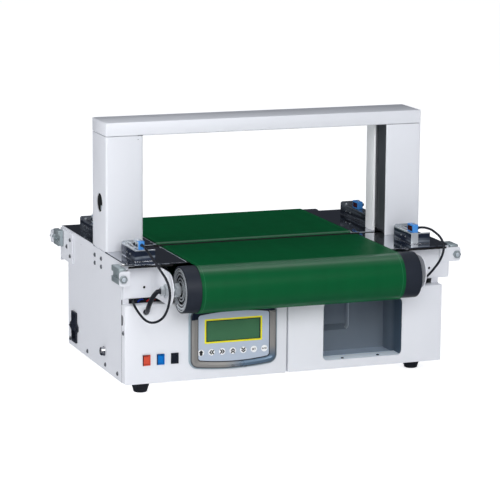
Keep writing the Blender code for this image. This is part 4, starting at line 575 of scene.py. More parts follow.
def screw_tree():
    """Pan heads with a cross recess on the input's points, all facing one way."""
    tree, given, out = new_group(
        "Screw Heads",
        "Geometry",
        (
            ("Geometry", "Geometry", None),
            ("Head Diameter", "Float", 0.007),
            ("Head Height", "Float", 0.0024),
            ("Facing", "Vector", (0.0, 0.0, 1.0)),
            ("Finish", "Material", None),
        ),
        (("Geometry", "Geometry"),),
    )

    def cone(bottom, top, depth):
        node = add(tree, "GeometryNodeMeshCone", Vertices=HEAD_SIDES)
        return fill(node, Radius_Bottom=bottom, Radius_Top=top, Depth=depth)

    def lifted(shape, rise):
        offset = add(tree, "ShaderNodeCombineXYZ", Z=rise)
        return add(tree, "GeometryNodeTransform", Geometry=shape, Translation=offset)

    def joined(*shapes):
        join = tree.nodes.new("GeometryNodeJoinGeometry")
        for shape in shapes:
            feed(join.inputs[0], shape)
        return join

    radius = given["Head Diameter"] * 0.5
    height = given["Head Height"]
    shoulder = radius * SHOULDER_SHARE
    rim_height = height * RIM_HEIGHT_SHARE
    rim = cone(radius, shoulder, rim_height)
    crown = cone(shoulder, radius * CROWN_SHARE, height * CROWN_HEIGHT_SHARE)
    length = radius * RECESS_LENGTH_SHARE
    width = radius * RECESS_WIDTH_SHARE
    arms = []
    for along, across in ((length, width), (width, length)):
        size = add(tree, "ShaderNodeCombineXYZ", X=along, Y=across, Z=height)
        arms.append(lifted(add(tree, "GeometryNodeMeshCube", Size=size), height))
    carved = tree.nodes.new("GeometryNodeMeshBoolean")
    carved.operation = "DIFFERENCE"
    fill(carved, Mesh_1=joined(rim, lifted(crown, rim_height)), Mesh_2=joined(*arms))
    facing = add(tree, "FunctionNodeAlignRotationToVector", Vector=given["Facing"])
    spread = add(
        tree, "GeometryNodeInstanceOnPoints", Points=given["Geometry"], Instance=carved, Rotation=facing
    )
    return finish_tree(tree, given, out, spread)


def belt_tree():
    """A flat belt swept round the input's closed line."""
    tree, given, out = new_group(
        "Belt Loop",
        "Geometry",
        (
            ("Geometry", "Geometry", None),
            ("Width", "Float", 0.39),
            ("Sheet", "Float", 0.0017),
            ("Finish", "Material", None),
        ),
        (("Geometry", "Geometry"),),
    )
    section = add(
        tree, "GeometryNodeCurvePrimitiveQuadrilateral", Width=given["Width"], Height=given["Sheet"]
    )
    sweep = tree.nodes.new("GeometryNodeCurveToMesh")
    fill(sweep, Curve=given["Geometry"], Profile_Curve=section)
    return finish_tree(tree, given, out, sweep)


def grown(name, data, tree, values, finish, nodes=()):
    """Runs a tree on some data and keeps the result as a plain mesh."""
    holder = bpy.data.objects.new(name + "_source", data)
    modifier = holder.modifiers.new("tree", "NODES")
    modifier.node_group = tree
    values = {**values, "Finish": FINISHES[finish][0]}
    for item in tree.interface.items_tree:
        if item.in_out == "INPUT" and item.name in values:
            modifier[item.identifier] = values[item.name]
    mesh = plain_mesh(holder)
    mesh.name = name
    return dressed(name, mesh, finish, nodes=nodes)


def plain_mesh(holder):
    """The mesh that an object comes to; the object itself is thrown away."""
    bpy.context.scene.collection.objects.link(holder)
    graph = bpy.context.evaluated_depsgraph_get()
    mesh = bpy.data.meshes.new_from_object(holder.evaluated_get(graph), depsgraph=graph)
    bpy.data.objects.remove(holder, do_unlink=True)
    return mesh


def screws(name, places, facing, tree, diameter, finish="screw"):
    """Screw heads at places in millimetres, all facing one way, each on a dark washer."""
    layers = (
        (name, diameter, diameter * HEAD_HEIGHT_SHARE, finish),
        (name + "_seats", diameter * SEAT_SHARE, SEAT_THICKNESS, "black_moulding"),
    )
    for label, wide, high, look in layers:
        dots = bpy.data.meshes.new(label + "_dots")
        dots.from_pydata([tuple(spot(*place)) for place in places], [], [])
        grown(label, dots, tree, {"Head Diameter": wide, "Head Height": high, "Facing": facing}, look)


# Materials

def grain_group():
    """Fine orange peel of a coat or a moulding, with slow drifts in its gloss and its tone."""
    tree, given, out = new_group(
        "Surface Grain",
        "Shader",
        (
            ("Vector", "Vector", None),
            ("Scale", "Float", 900.0),
            ("Roughness", "Float", 0.4),
            ("Spread", "Float", 0.05),
        ),
        (("Height", "Float"), ("Roughness", "Float"), ("Tone", "Float")),
    )
    fine = given["Vector"].noise(given["Scale"], 2.0)
    slow = given["Vector"].noise(14.0)
    low = given["Roughness"] - given["Spread"]
    high = given["Roughness"] + given["Spread"]
    fill(out, Height=fine, Roughness=slow.ramp(0.3, 0.7, low, high), Tone=slow.ramp(0.3, 0.7))
    return tree


def rub_group():
    """Hand marks and rubbed places: a mask with soft islands and thin streaks."""
    tree, given, out = new_group(
        "Rub Marks", "Shader", (("Vector", "Vector", None), ("Amount", "Float", 0.4)), (("Mask", "Float"),)
    )
    islands = given["Vector"].noise(22.0, 4.0, 0.6).ramp(0.50, 0.72)
    streaks = given["Vector"].stretched((260.0, 18.0, 40.0)).noise(detail=2.0).ramp(0.55, 0.75)
    fill(out, Mask=islands.step("MAXIMUM", streaks * 0.6) * given["Amount"])
    return tree


def shade(colour, change):
    """The colour made darker or lighter, and no lighter than white."""
    return tuple(min(1.0, share * change) for share in colour)


class Finish:
    """A material under construction: its tree, its shader and the vector it is patterned on."""

    def __init__(self, name, slot, colour, roughness, metallic=0.0, **sockets):
        self.colour = tuple(colour)
        self.roughness = roughness
        self.material = bpy.data.materials.new(name)
        self.material.use_nodes = True
        self.material.diffuse_color = (*colour, 1.0)
        self.tree = self.material.node_tree
        self.shader = self.tree.nodes["Principled BSDF"]
        self.vector = Value(self.tree.nodes.new("ShaderNodeTexCoord").outputs["Object"])
        self.set(Base_Color=(*colour, 1.0), Roughness=roughness, Metallic=metallic, **sockets)
        FINISHES[name] = (self.material, slot)

    def set(self, **inputs):
        """Feeds the shader's inputs."""
        fill(self.shader, **inputs)

    def axes(self):
        """The x, y and z of a place on the machine."""
        split = add(self.tree, "ShaderNodeSeparateXYZ", Vector=self.vector)
        return [Value(output) for output in split.outputs]

    def placed(self, key, **values):
        """Places a shared group with its own values and gives its outputs by name."""
        node = self.tree.nodes.new("ShaderNodeGroup")
        node.node_tree = GROUPS[key]
        fill(node, Vector=self.vector, **values)
        return {output.name: Value(output) for output in node.outputs}

    def mixed(self, mask, first, second):
        """A colour drawn between two colours by a mask."""
        node = self.tree.nodes.new("ShaderNodeMix")
        node.data_type = "RGBA"
        feed(node.inputs[0], mask)
        for socket, colour in ((node.inputs[6], first), (node.inputs[7], second)):
            feed(socket, colour if isinstance(colour, Value) else (*colour, 1.0))
        return Value(node.outputs[2])

    def bumped(self, height, strength, distance=0.0002):
        self.set(Normal=add(self.tree, "ShaderNodeBump", Strength=strength, Distance=distance, Height=height))

    def tinted(self, mask, change):
        """Shifts the colour lighter or darker under a mask."""
        self.set(Base_Color=self.mixed(mask, self.colour, shade(self.colour, change)))

    def grained(self, scale, bump, tone, spread=0.05):
        grain = self.placed("grain", Scale=scale, Roughness=self.roughness, Spread=spread)
        self.set(Roughness=grain["Roughness"])
        self.bumped(grain["Height"], bump)
        self.tinted(grain["Tone"], tone)
        return grain


# Where a finish changes: each pair is the start and the end of a soft step, in metres in the frame
# Painted shade on the upper face of the arch's bar
BAR_TOP_SHADE = (0.4812, 0.4819)
DECK_BRACKETS = (0.2468, 0.2474)
# Painted highlights on the shelves and on the right front bracket's end, and darker painted reflections on
# the rear brackets
SHELF_HIGHLIGHT_HEIGHT = (0.2648, 0.2653)
END_HIGHLIGHT_RIGHT = (0.2487, 0.2490)
END_HIGHLIGHT_LEFT = (0.2346, 0.2349)
END_HIGHLIGHT_DEPTH = (-0.1714, -0.1710)
DARKER_REAR_REFLECTIONS = (0.020, 0.022)
# Painted shade on the window bay's far wall, deeper towards the front
BAY_FAR_WALL_SHADE = (0.2148, 0.2158)
BAY_WALL_SHADE_DEPTH = (-0.147, -0.128)
# A painted cool reflection on the lower right of the bezel's land
COOL_REFLECTION_RIGHT = (-0.137, -0.100)
COOL_REFLECTION_LOWER = (0.060, 0.080)
# Painted shade and reflection of the drum in the bezel's upper corners
BEZEL_SHADE_HEIGHTS = (0.1463, 0.1475)
BEZEL_SHADE_SLOPE = -0.055
# Painted shade in the drum discs' sunk steps
DISC_SUNK_SHADE = (0.2222, 0.2234)
BELT_LINE = (0.0002, 0.0006)
BELT_LINE_INSET = 0.0058
LATHE_RINGS = 9000.0
LOW_GLOSS_SLOTS = ("blue_plastic", "red_plastic", "cable_black")


def make_finishes(scene):
    """Every material of the machine, from the settings' colours."""
    GROUPS["grain"] = grain_group()
    GROUPS["rub"] = rub_group()
    cabinet = scene.strapping_cabinet
    conveyor = scene.strapping_conveyor
    keypad = scene.strapping_keypad
    make_coat(cabinet.paint, cabinet.paint_roughness)
    make_polish(tuple(conveyor.steel))
    make_satin((0.29, 0.34, 0.40))
    make_belt_finish(tuple(conveyor.belt), conveyor)
    rubber = Finish("lagging", "drum_rubber", conveyor.rubber, 0.52, Specular_IOR_Level=0.25)
    rubber.grained(1100.0, 0.25, 1.35, spread=0.06)
    feet = Finish("foot_moulding", "foot_rubber", (0.010, 0.012, 0.018), 0.55)
    feet.grained(1500.0, 0.3, 1.5, spread=0.08)
    make_plain_finishes(keypad)
    make_bright_sheets()
    make_bezel_finish(tuple(keypad.bezel))
    make_ring_finish()
    glass = Finish("display_glass", "display", keypad.display, 0.12, Coat_Weight=0.6, Coat_Roughness=0.04)
    grain = glass.placed("grain", Scale=60.0, Roughness=0.14, Spread=0.03)
    glass.tinted(grain["Tone"], 1.12)
    glass.set(Roughness=grain["Roughness"])
    window = Finish("sensor_window", "sensor_blue", (0.050, 0.0, 0.002), 0.25, Coat_Weight=0.15)
    window.tinted(window.placed("rub", Amount=0.5)["Mask"], 1.6)


def make_coat(colour, roughness):
    """White powder coat, with painted shade on the upper face of the arch's bar: a little darker and duller
    there.
    """
    coat = Finish("powder_coat", "white_paint", colour, roughness)
    grain = coat.grained(1500.0, 0.015, 0.985)
    # Painted shade: the bar's upper face is darker and less glossy
    over = coat.axes()[2].ramp(*BAR_TOP_SHADE)
    even = coat.mixed(grain["Tone"], coat.colour, shade(coat.colour, 0.985))
    coat.set(
        Base_Color=coat.mixed(over, even, shade(coat.colour, 0.84)),
        Specular_IOR_Level=over.ramp(0.0, 1.0, 0.5, 0.15),
    )


def make_plain_finishes(keypad):
    """Finishes of one colour: slot, colour, roughness, metallic, grain's scale, bump and tone."""
    plain = {
        "bezel_rim": ("bezel_grey", (0.42, 0.52, 0.58), 0.30, 0.35, 2600.0, 0.02, 0.97),
        "membrane_film": ("membrane", keypad.film, 0.42, 0.0, 2600.0, 0.08, 0.97),
        "key_dome": ("keycap_white", (0.95, 0.955, 0.97), 0.45, 0.0, 2400.0, 0.02, 0.98),
        "frame_print": ("membrane", keypad.outline, 0.45, 0.0, 2600.0, 0.04, 0.94),
        "symbol_print": ("membrane", (0.012, 0.012, 0.016), 0.5, 0.0, 2600.0, 0.04, 1.4),
        "red_moulding": ("red_plastic", keypad.red, 0.32, 0.0, 2400.0, 0.05, 0.9),
        "blue_moulding": ("blue_plastic", keypad.blue, 0.32, 0.0, 2400.0, 0.05, 0.9),
        "black_moulding": ("black_plastic", (0.010, 0.013, 0.022), 0.34, 0.0, 2200.0, 0.08, 1.5),
        "sensor_moulding": ("sensor_blue", (0.060, 0.30, 0.78), 0.34, 0.0, 2400.0, 0.05, 0.9),
        "guide_moulding": ("guide_grey", (0.060, 0.064, 0.072), 0.45, 0.0, 1200.0, 0.12, 1.2),
        "head_coat": ("head_grey", (0.20, 0.22, 0.25), 0.45, 0.0, 1300.0, 0.10, 0.92),
        "jacket": ("cable_black", (0.012, 0.013, 0.018), 0.42, 0.0, 2000.0, 0.12, 1.6),
        "red_wire": ("cable_black", (0.55, 0.02, 0.02), 0.4, 0.0, 2000.0, 0.05, 0.85),
        "blue_wire": ("cable_black", (0.01, 0.05, 0.45), 0.4, 0.0, 2000.0, 0.05, 0.85),
        # Painted highlight: a pale steel for the bay pocket's side and its rolled edge
        "edge_sheet": ("polished_steel", (0.60, 0.66, 0.72), 0.45, 0.0, 1800.0, 0.02, 0.97),
        # Painted light: a lighter steel laid on the bay's floor
        "floor_sheet": ("polished_steel", (0.50, 0.60, 0.73), 0.45, 0.1, 1800.0, 0.02, 0.97),
        "zinc_cast": ("zinc", (0.44, 0.51, 0.53), 0.42, 0.55, 1400.0, 0.20, 0.8),
        "bright_zinc": ("zinc", (0.66, 0.73, 0.79), 0.30, 0.35, 1600.0, 0.10, 0.85),
        "shadow_lining": ("black_plastic", (0.003, 0.0032, 0.004), 0.85, 0.0, 1600.0, 0.02, 0.9),
        "plated": ("shaft_steel", (0.60, 0.64, 0.67), 0.34, 0.6, 1800.0, 0.08, 0.88),
        "screw": ("shaft_steel", (0.22, 0.235, 0.26), 0.34, 0.7, 2000.0, 0.08, 0.8),
        "chrome_ring": ("socket_chrome", (0.75, 0.75, 0.76), 0.10, 1.0, 1500.0, 0.02, 0.95),
    }
    for name, (slot, colour, roughness, metallic, scale, bump, tone) in plain.items():
        gloss = 0.2 if slot in LOW_GLOSS_SLOTS else 0.5
        Finish(name, slot, colour, roughness, metallic, Specular_IOR_Level=gloss).grained(scale, bump, tone)


def make_bright_sheets():
    """The two edges that catch a bright reflection, which a small glow stands for."""
    strip = Finish(
        "edge_white", "white_paint", (0.93, 0.94, 0.97), 0.4,
        Emission_Color=(1.0, 1.0, 1.0, 1.0), Emission_Strength=0.15,
    )
    strip.grained(1500.0, 0.015, 0.985)
    ledge = Finish(
        "ledge_sheet", "polished_steel", (0.86, 0.93, 1.0), 0.4,
        Emission_Color=(0.72, 0.86, 1.0, 1.0), Emission_Strength=0.16,
    )
    ledge.grained(1800.0, 0.02, 0.97)


def make_polish(colour):
    """Mirror-polished stainless: rubbed haze and fine lines, with painted reflections and highlights on the
    brackets: dark and pale streaks, pale shelves and end, darker at the rear.
    """
    polish = Finish("polished", "polished_steel", colour, 0.07, 1.0)
    rub = polish.placed("rub", Amount=0.8)["Mask"]
    x, y, z = polish.axes()
    # Above the deck the brackets take painted reflections and highlights in place of the steel's colour
    above = z.ramp(*DECK_BRACKETS)
    shelf = z.ramp(*SHELF_HIGHLIGHT_HEIGHT)
    # Painted reflections: dark navy and pale streaks on the brackets' walls
    streaks = polish.vector.stretched((9.0, 9.0, 105.0)).noise(detail=1.0).ramp(0.46, 0.66)
    wall_reflection = polish.mixed(streaks, (0.030, 0.042, 0.075), (0.38, 0.43, 0.49))
    # Painted highlight on the front brackets' shelves
    front = polish.mixed(shelf, wall_reflection, (0.62, 0.66, 0.70))
    # Painted highlight on the right front bracket's end
    end = x.ramp(*END_HIGHLIGHT_RIGHT, 1.0, 0.0) * x.ramp(*END_HIGHLIGHT_LEFT)
    end = end * y.ramp(*END_HIGHLIGHT_DEPTH, 1.0, 0.0)
    front = polish.mixed(end, front, (0.80, 0.84, 0.88))
    # Darker painted reflections on the rear brackets' walls and shelves
    wall_reflection = polish.mixed(streaks, (0.02, 0.026, 0.04), (0.16, 0.18, 0.21))
    rear = polish.mixed(shelf, wall_reflection, (0.20, 0.22, 0.25))
    brackets = polish.mixed(y.ramp(*DARKER_REAR_REFLECTIONS), front, rear)
    worn = polish.mixed(rub, colour, shade(colour, 0.86))
    polish.set(
        Base_Color=polish.mixed(above, worn, brackets),
        Roughness=rub.ramp(0.0, 1.0, 0.05, 0.17) + above * 0.14,
        Metallic=above.ramp(0.0, 1.0, 1.0, 0.5),
    )
    lines = polish.vector.stretched((30.0, 2600.0, 2600.0)).noise(detail=2.0)
    polish.bumped(lines, 0.02, 0.0001)


def make_satin(colour):
    """Satin stainless of the window bay, with a soft smear, and painted shade on the far wall that deepens
    towards the front.
    """
    satin = Finish("satin_sheet", "polished_steel", colour, 0.42, 0.45)
    rub = satin.placed("rub", Amount=0.5)["Mask"]
    x, y, _ = satin.axes()
    # Painted shade on the bay's far wall
    far_wall_shade = x.ramp(*BAY_FAR_WALL_SHADE) * y.ramp(*BAY_WALL_SHADE_DEPTH, 1.0, 0.25)
    smeared = satin.mixed(rub, colour, shade(colour, 0.94))
    satin.set(
        Base_Color=satin.mixed(far_wall_shade, smeared, (0.085, 0.130, 0.185)),
        Roughness=rub.ramp(0.0, 1.0, 0.38, 0.46),
    )


def make_bezel_finish(colour):
    """Silver grey moulding, with a painted cool reflection along the lower right of its land and painted
    shade and reflection of the drum in its upper corners.
    """
    bezel = Finish("bezel_moulding", "bezel_grey", colour, 0.30, 0.35)
    grain = bezel.placed("grain", Scale=2600.0, Roughness=0.30, Spread=0.05)
    x, _, z = bezel.axes()
    # Painted cool reflection on the lower right of the land
    cool_reflection = x.ramp(*COOL_REFLECTION_RIGHT) * z.ramp(*COOL_REFLECTION_LOWER, 1.0, 0.0)
    land = bezel.mixed(cool_reflection, colour, (0.13, 0.20, 0.285))
    # Painted shade and reflection of the drum in the upper corners
    corners = (z + x * BEZEL_SHADE_SLOPE).ramp(*BEZEL_SHADE_HEIGHTS)
    bezel.set(Base_Color=bezel.mixed(corners, land, (0.012, 0.020, 0.045)), Roughness=grain["Roughness"])


def make_ring_finish():
    """Turned aluminium of the drum discs: rings cut by the lathe about the drum's axis, and painted shade
    that darkens the sunk steps.
    """
    rings = Finish("turned_disc", "shaft_steel", (0.66, 0.70, 0.73), 0.32, 0.45)
    x, y, z = rings.axes()
    front, rear = (spot(DRUM_MIDDLE, depth, AXLE_HEIGHT) for depth in AXLE_DEPTHS.values())
    aside = abs(y - front.y).step("MINIMUM", abs(y - rear.y))
    above = z - front.z
    reach = (aside * aside + above * above).step("SQRT")
    wave = (reach * LATHE_RINGS).step("SINE")
    rings.bumped(wave, 0.10, 0.0001)
    # Painted shade: the sunk steps are darkened by their depth
    rings.tinted(abs(x - front.x).ramp(*DISC_SUNK_SHADE, 1.0, 0.0), 0.05)
    rings.set(Roughness=wave.ramp(-1.0, 1.0, 0.22, 0.32))


def make_belt_finish(colour, conveyor):
    """Green PVC: faint bands along its run, a paler line inside each edge and a sheen on the crest."""
    belt = Finish(
        "belt_pvc", "belt_green", colour, 0.38, Specular_IOR_Level=0.12, Coat_Roughness=0.25, Coat_IOR=1.55
    )
    grain = belt.placed("grain", Scale=1700.0, Roughness=0.38, Spread=0.04)
    aside = abs(belt.axes()[0] - spot(BELT_MIDDLE, 0.0, 0.0).x)
    line = abs(aside - (conveyor.belt_width / 2 - BELT_LINE_INSET)).ramp(*BELT_LINE, 1.0, 0.0)
    bands = belt.vector.stretched((70.0, 1.2, 1.2)).noise().ramp(0.35, 0.7)
    body = belt.mixed(bands, colour, shade(colour, 0.93))
    pale = tuple(min(1.0, share * 1.7 + 0.02) for share in colour)
    belt.bumped(line * -1.0, 0.10, 0.0001)
    facing = Value(add(belt.tree, "ShaderNodeLayerWeight", Blend=0.5).outputs["Facing"])
    fall = facing.ramp(0.57, 0.70, 1.0, 0.0)
    belt.set(
        Base_Color=belt.mixed(line, body, pale),
        Roughness=grain["Roughness"],
        Coat_Weight=facing.ramp(0.16, 0.32) * fall,
        Specular_IOR_Level=fall.ramp(0.0, 1.0, 0.015, 0.12),
    )


# Stage

CAMERA_AZIMUTH = -20.513
CAMERA_ELEVATION = 10.914
CAMERA_ROLL = 0.453
CAMERA_DISTANCE = 4.594453
CAMERA_TARGET = (292.228, 150.0, 201.97)
CAMERA_FRAME = 36.0
CLIP_END = 100.0
FLOOR_REACH = 30
FLOOR_DEPTH = 0.05
DARK_HORIZON = (0.050, 0.060, 0.090, 1.0)
BRIGHT_OVERHEAD = (0.85, 0.88, 0.92, 1.0)
DARK_FLOOR = (0.034, 0.041, 0.060, 1.0)
WHITE = (1.0, 1.0, 1.0, 1.0)
MACHINE_MIDDLE = (0.0, 0.0, 0.22)
FRONT_CREST = (0.0, -0.236, 0.22)

# Each light's place, what it is turned to, its width and height, and the setting of its power
SOFT_LIGHTS = {
    "front_softbox": ((-0.5, -3.2, 1.72), MACHINE_MIDDLE, (2.8, 1.3), "key"),
    "left_softbox": ((-3.2, -0.8, 1.4), MACHINE_MIDDLE, (1.8, 1.6), "side"),
    "overhead_softbox": ((0.3, 0.4, 3.2), MACHINE_MIDDLE, (2.4, 2.0), "top"),
    "crest_strip": ((0.3, 0.65, 3.5), FRONT_CREST, (2.6, 0.9), "crest"),
}


def mixed_shaders(tree, mask, first, second, output):
    """Shows the second shader where the mask is one, and the first elsewhere."""
    mix = tree.nodes.new("ShaderNodeMixShader")
    for socket, value in zip(mix.inputs, (mask, first, second)):
        feed(socket, value)
    feed(tree.nodes[output].inputs["Surface"], mix)


def studio_world(strength):
    """A pale surround for the camera; for light and gloss, dark at the horizon and bright overhead."""
    world = bpy.data.worlds.new("studio")
    bpy.context.scene.world = world
    world.use_nodes = True
    tree = world.node_tree
    place = tree.nodes.new("ShaderNodeTexCoord")
    split = add(tree, "ShaderNodeSeparateXYZ", Vector=place.outputs["Generated"])
    ramp = tree.nodes.new("ShaderNodeValToRGB")
    feed(ramp.inputs[0], split.outputs["Z"])
    stops = ramp.color_ramp.elements
    stops[0].color = DARK_HORIZON
    stops[1].color = BRIGHT_OVERHEAD
    for position, value in ((0.30, 0.060), (0.46, 0.30), (0.7, 0.80)):
        stops.new(position).color = (value * 0.95, value, value * 1.12, 1.0)
    shine = fill(tree.nodes["Background"], Color=ramp, Strength=strength)
    pale = add(tree, "ShaderNodeBackground", Color=WHITE)
    seen = tree.nodes.new("ShaderNodeLightPath")
    mixed_shaders(tree, seen.outputs["Is Camera Ray"], shine, pale, "World Output")


def soft_light(name, place, towards, size, power):
    light = bpy.data.lights.new(name, "AREA")
    light.shape = "RECTANGLE"
    light.size, light.size_y = size
    light.energy = power
    thing = bpy.data.objects.new(name, light)
    thing.location = place
    thing.rotation_euler = (Vector(towards) - Vector(place)).to_track_quat("-Z", "Y").to_euler()
    bpy.context.scene.collection.objects.link(thing)


class STRAPPING_OT_stage(bpy.types.Operator):
    """Sets the camera at the photograph's angle over a plain pale floor in soft light."""

    bl_idname = "strapping.stage"
    bl_label = "Stage"

    def execute(self, context):
        stage = context.scene.strapping_stage
        context.scene.view_settings.view_transform = "Standard"
        self.set_camera(context.scene, stage.lens)
        self.lay_floor(context.scene, stage.floor)
        studio_world(stage.sky)
        for name, (place, towards, size, setting) in SOFT_LIGHTS.items():
            soft_light(name, place, towards, size, getattr(stage, setting))
        return {"FINISHED"}

    def set_camera(self, scene, lens):
        azimuth = math.radians(CAMERA_AZIMUTH)
        elevation = math.radians(CAMERA_ELEVATION)
        roll = math.radians(CAMERA_ROLL)
        away = math.cos(elevation)
        back = Vector((math.sin(azimuth) * away, -math.cos(azimuth) * away, math.sin(elevation)))
        right = Vector((math.cos(azimuth), math.sin(azimuth), 0.0))
        up = back.cross(right)
        level = right * math.cos(roll) + up * math.sin(roll)
        tall = up * math.cos(roll) - right * math.sin(roll)
        camera = bpy.data.cameras.new("photo_camera")
        camera.lens = lens
        camera.sensor_width = CAMERA_FRAME
        camera.clip_end = CLIP_END
        eye = bpy.data.objects.new("photo_camera", camera)
        turn = Matrix((level, tall, back)).transposed().to_4x4()
        eye.matrix_world = Matrix.Translation(spot(*CAMERA_TARGET) + back * CAMERA_DISTANCE) @ turn
        scene.collection.objects.link(eye)
        scene.camera = eye

    def lay_floor(self, scene, colour):
        """A floor that glows a little for the camera and is a dark surround for polished metal."""
        reach = Vector((FLOOR_REACH, FLOOR_REACH, 0.0))
        ground = block(-reach - Z * FLOOR_DEPTH, reach)
        mesh = bpy.data.meshes.new("floor")
        ground.to_mesh(mesh)
        ground.free()
        floor = bpy.data.objects.new("floor", mesh)
        scene.collection.objects.link(floor)
        pale = bpy.data.materials.new("floor_pale")
        pale.use_nodes = True
        tree = pale.node_tree
        seen = tree.nodes.new("ShaderNodeLightPath").outputs
        glow = Value(seen["Is Camera Ray"]).ramp(0.0, 1.0, 0.30, 0.70)
        shader = fill(
            tree.nodes["Principled BSDF"],
            Base_Color=(*colour, 1.0), Roughness=0.8, Emission_Color=WHITE, Emission_Strength=glow,
        )
        dark = add(tree, "ShaderNodeEmission", Color=DARK_FLOOR)
        mixed_shaders(tree, seen["Is Glossy Ray"], shader, dark, "Material Output")
        mesh.materials.append(pale)


# Cables

# The cables' routes, in millimetres from the cabinet's corner, as in the part's source
LEFT_CABLE_ROUTE = (
    (34.5, 5.6, 251.8), (34.6, 1, 251.6), (35.4, -9, 249), (37, -22, 243.5), (39.5, -36, 236),
    (43, -50, 227), (47, -63, 217), (52, -75, 205), (54.5, -83, 193), (55, -87, 180),
    (54, -86, 167), (51, -84, 152), (46, -77, 138), (39, -67, 129), (32, -56, 125),
    (26, -46, 126), (21, -36, 131), (17, -26, 138), (15, -16, 144), (15, -6, 148), (17, 6, 150),
    (21, 20, 150), (25, 32, 149),
)
RIGHT_CABLE_ROUTE = (
    (576.5, 16, 251.8), (584, 15.8, 251.8), (590, 10.5, 251), (594.5, 2, 249.5), (598, -7, 246),
    (602, -16, 241), (604.7, -24, 234), (605.5, -30, 225), (604, -33, 215), (600.5, -33, 204),
    (596, -30, 193), (591.5, -24, 183), (587, -17, 173), (583.5, -8, 164), (581.5, 1, 157),
    (580.5, 11, 152), (579.5, 22, 150), (579.5, 32, 149),
)
MOTOR_CABLE_ROUTE = (
    (46.5, -54, 180), (43.5, -54, 180), (40.5, -51, 176), (37, -44, 167), (35.5, -34, 155),
    (36, -23, 144.5), (38, -13, 136.5), (39.6, -4, 132.6), (40, 5, 132),
)


# Distances between the points of a cable's line, in metres
SENSOR_CABLE_STEP = 0.0055
MOTOR_CABLE_STEP = 0.0042
LEAD_STEP = 0.002


def cable_look(name, points, diameter, finish, nodes=()):
    """A cable's round jacket along its line."""
    return dressed(name, tube(name, points, diameter / 2), finish, nodes=nodes, smooth=0.0)


class STRAPPING_OT_cables(bpy.types.Operator):
    """Makes the sensor cables and the motor cable."""

    bl_idname = "strapping.cables"
    bl_label = "Cables"

    def execute(self, context):
        cables = context.scene.strapping_cables
        for name, route, diameter, step, stiffness in (
            ("left_sensor_cable", LEFT_CABLE_ROUTE, cables.sensor, SENSOR_CABLE_STEP, "limp"),
            ("right_sensor_cable", RIGHT_CABLE_ROUTE, cables.sensor, SENSOR_CABLE_STEP, "limp"),
            ("motor_cable", MOTOR_CABLE_ROUTE, cables.motor, MOTOR_CABLE_STEP, "limp"),
        ):
            points = smooth_line([spot(*place) for place in route], step)
            lead = cable_look(name + "_jacket", points, diameter, "jacket", (name,))
            line_length(points)
        return {"FINISHED"}


# Cabinet: corners of plain strips and sheets, in millimetres from the cabinet's corner

PAINTED_NODES = (
    "left_side_panel", "right_side_panel", "front_left_cover", "front_right_cover", "right_frame_plate",
    "front_left_shoulder", "front_right_shoulder", "rear_left_shoulder", "rear_right_shoulder",
    "base_chassis",
)
FOOT_NODES = ("front_left_foot", "front_right_foot", "rear_left_foot", "rear_right_foot")
# Painted shade: dark strips in the seams between the front covers and the side panels
COVER_SEAM_SHADES = (
    ((-0.06, 19.7, 1.0), (1.5, 20.7, 153.0)),
    ((617.5, 19.7, 1.0), (619.06, 20.7, 145.0)),
)
# Painted shade: a dark sheet along the strap gap, and dark discs behind the post hole and the cover holes
STRAP_GAP_LINING = ((102, 143.1, 215), (511, 144.4, 224.2))
POST_HOLE = (1.6, 152, 307)
POST_HOLE_RADIUS = 17.2
POST_HOLE_LINING = 0.6
COVER_HOLES = ((42.0, 19.3, 173.5), (599.5, 19.3, 173.5))
COVER_HOLE_RADIUS = 2.4
COVER_HOLE_LINING = 1.0
POST_DOT = (60.8, 111.4, 426.0)
SIDE_PANEL_DOT = (0.0, 271.5, 207.7)
# Painted shade: a dark strip in the notch at the left post's top, and dark strips in the gaps under the
# shoulders and between the decks
POST_NOTCH = ((60.0, 111.2, 432.3), (69.8, 111.5, 433.2))
SHOULDER_GAPS = (
    ((1.5, -17.7, 216.3), (84, -15.2, 219.8)),
    ((541, -17.7, 216.3), (617, -15.2, 219.8)),
)
DECK_GAPS = (
    ((71, 157.2, 214.5), (112, 157.6, 220.7)),
    ((502, 157.2, 214.5), (548, 157.6, 220.7)),
)
# Painted highlights: bright strips on the decks' lips at both ends of the gap between the belts
DECK_LIP_HIGHLIGHTS = (
    ((71, 157.2, 220.8), (112, 157.7, 222.1)),
    ((502, 157.2, 220.8), (548, 157.7, 222.1)),
)
# Painted highlight: a bright glint inside the post hole
POST_HOLE_GLINT = ((0.9, 136, 294), (1.5, 147, 303))
# Painted light: a glowing white strip on the right post's inner edge
POST_EDGE_GLOW = ((545.6, 161.9, 222.5), (549.9, 197.2, 431.8))
# Painted highlight: the bay's front ledge glows
BAY_LEDGE = ((380.0, 2.4, 15.6), (539.0, 38.0, 16.1))
# Painted light: a lighter sheet on the bay's floor
BAY_FLOOR = ((380.0, 38.4, 12.1), (539.0, 89.3, 12.5))
WIRING_DUCT = ((17, 34, 130), (600, 54, 151))
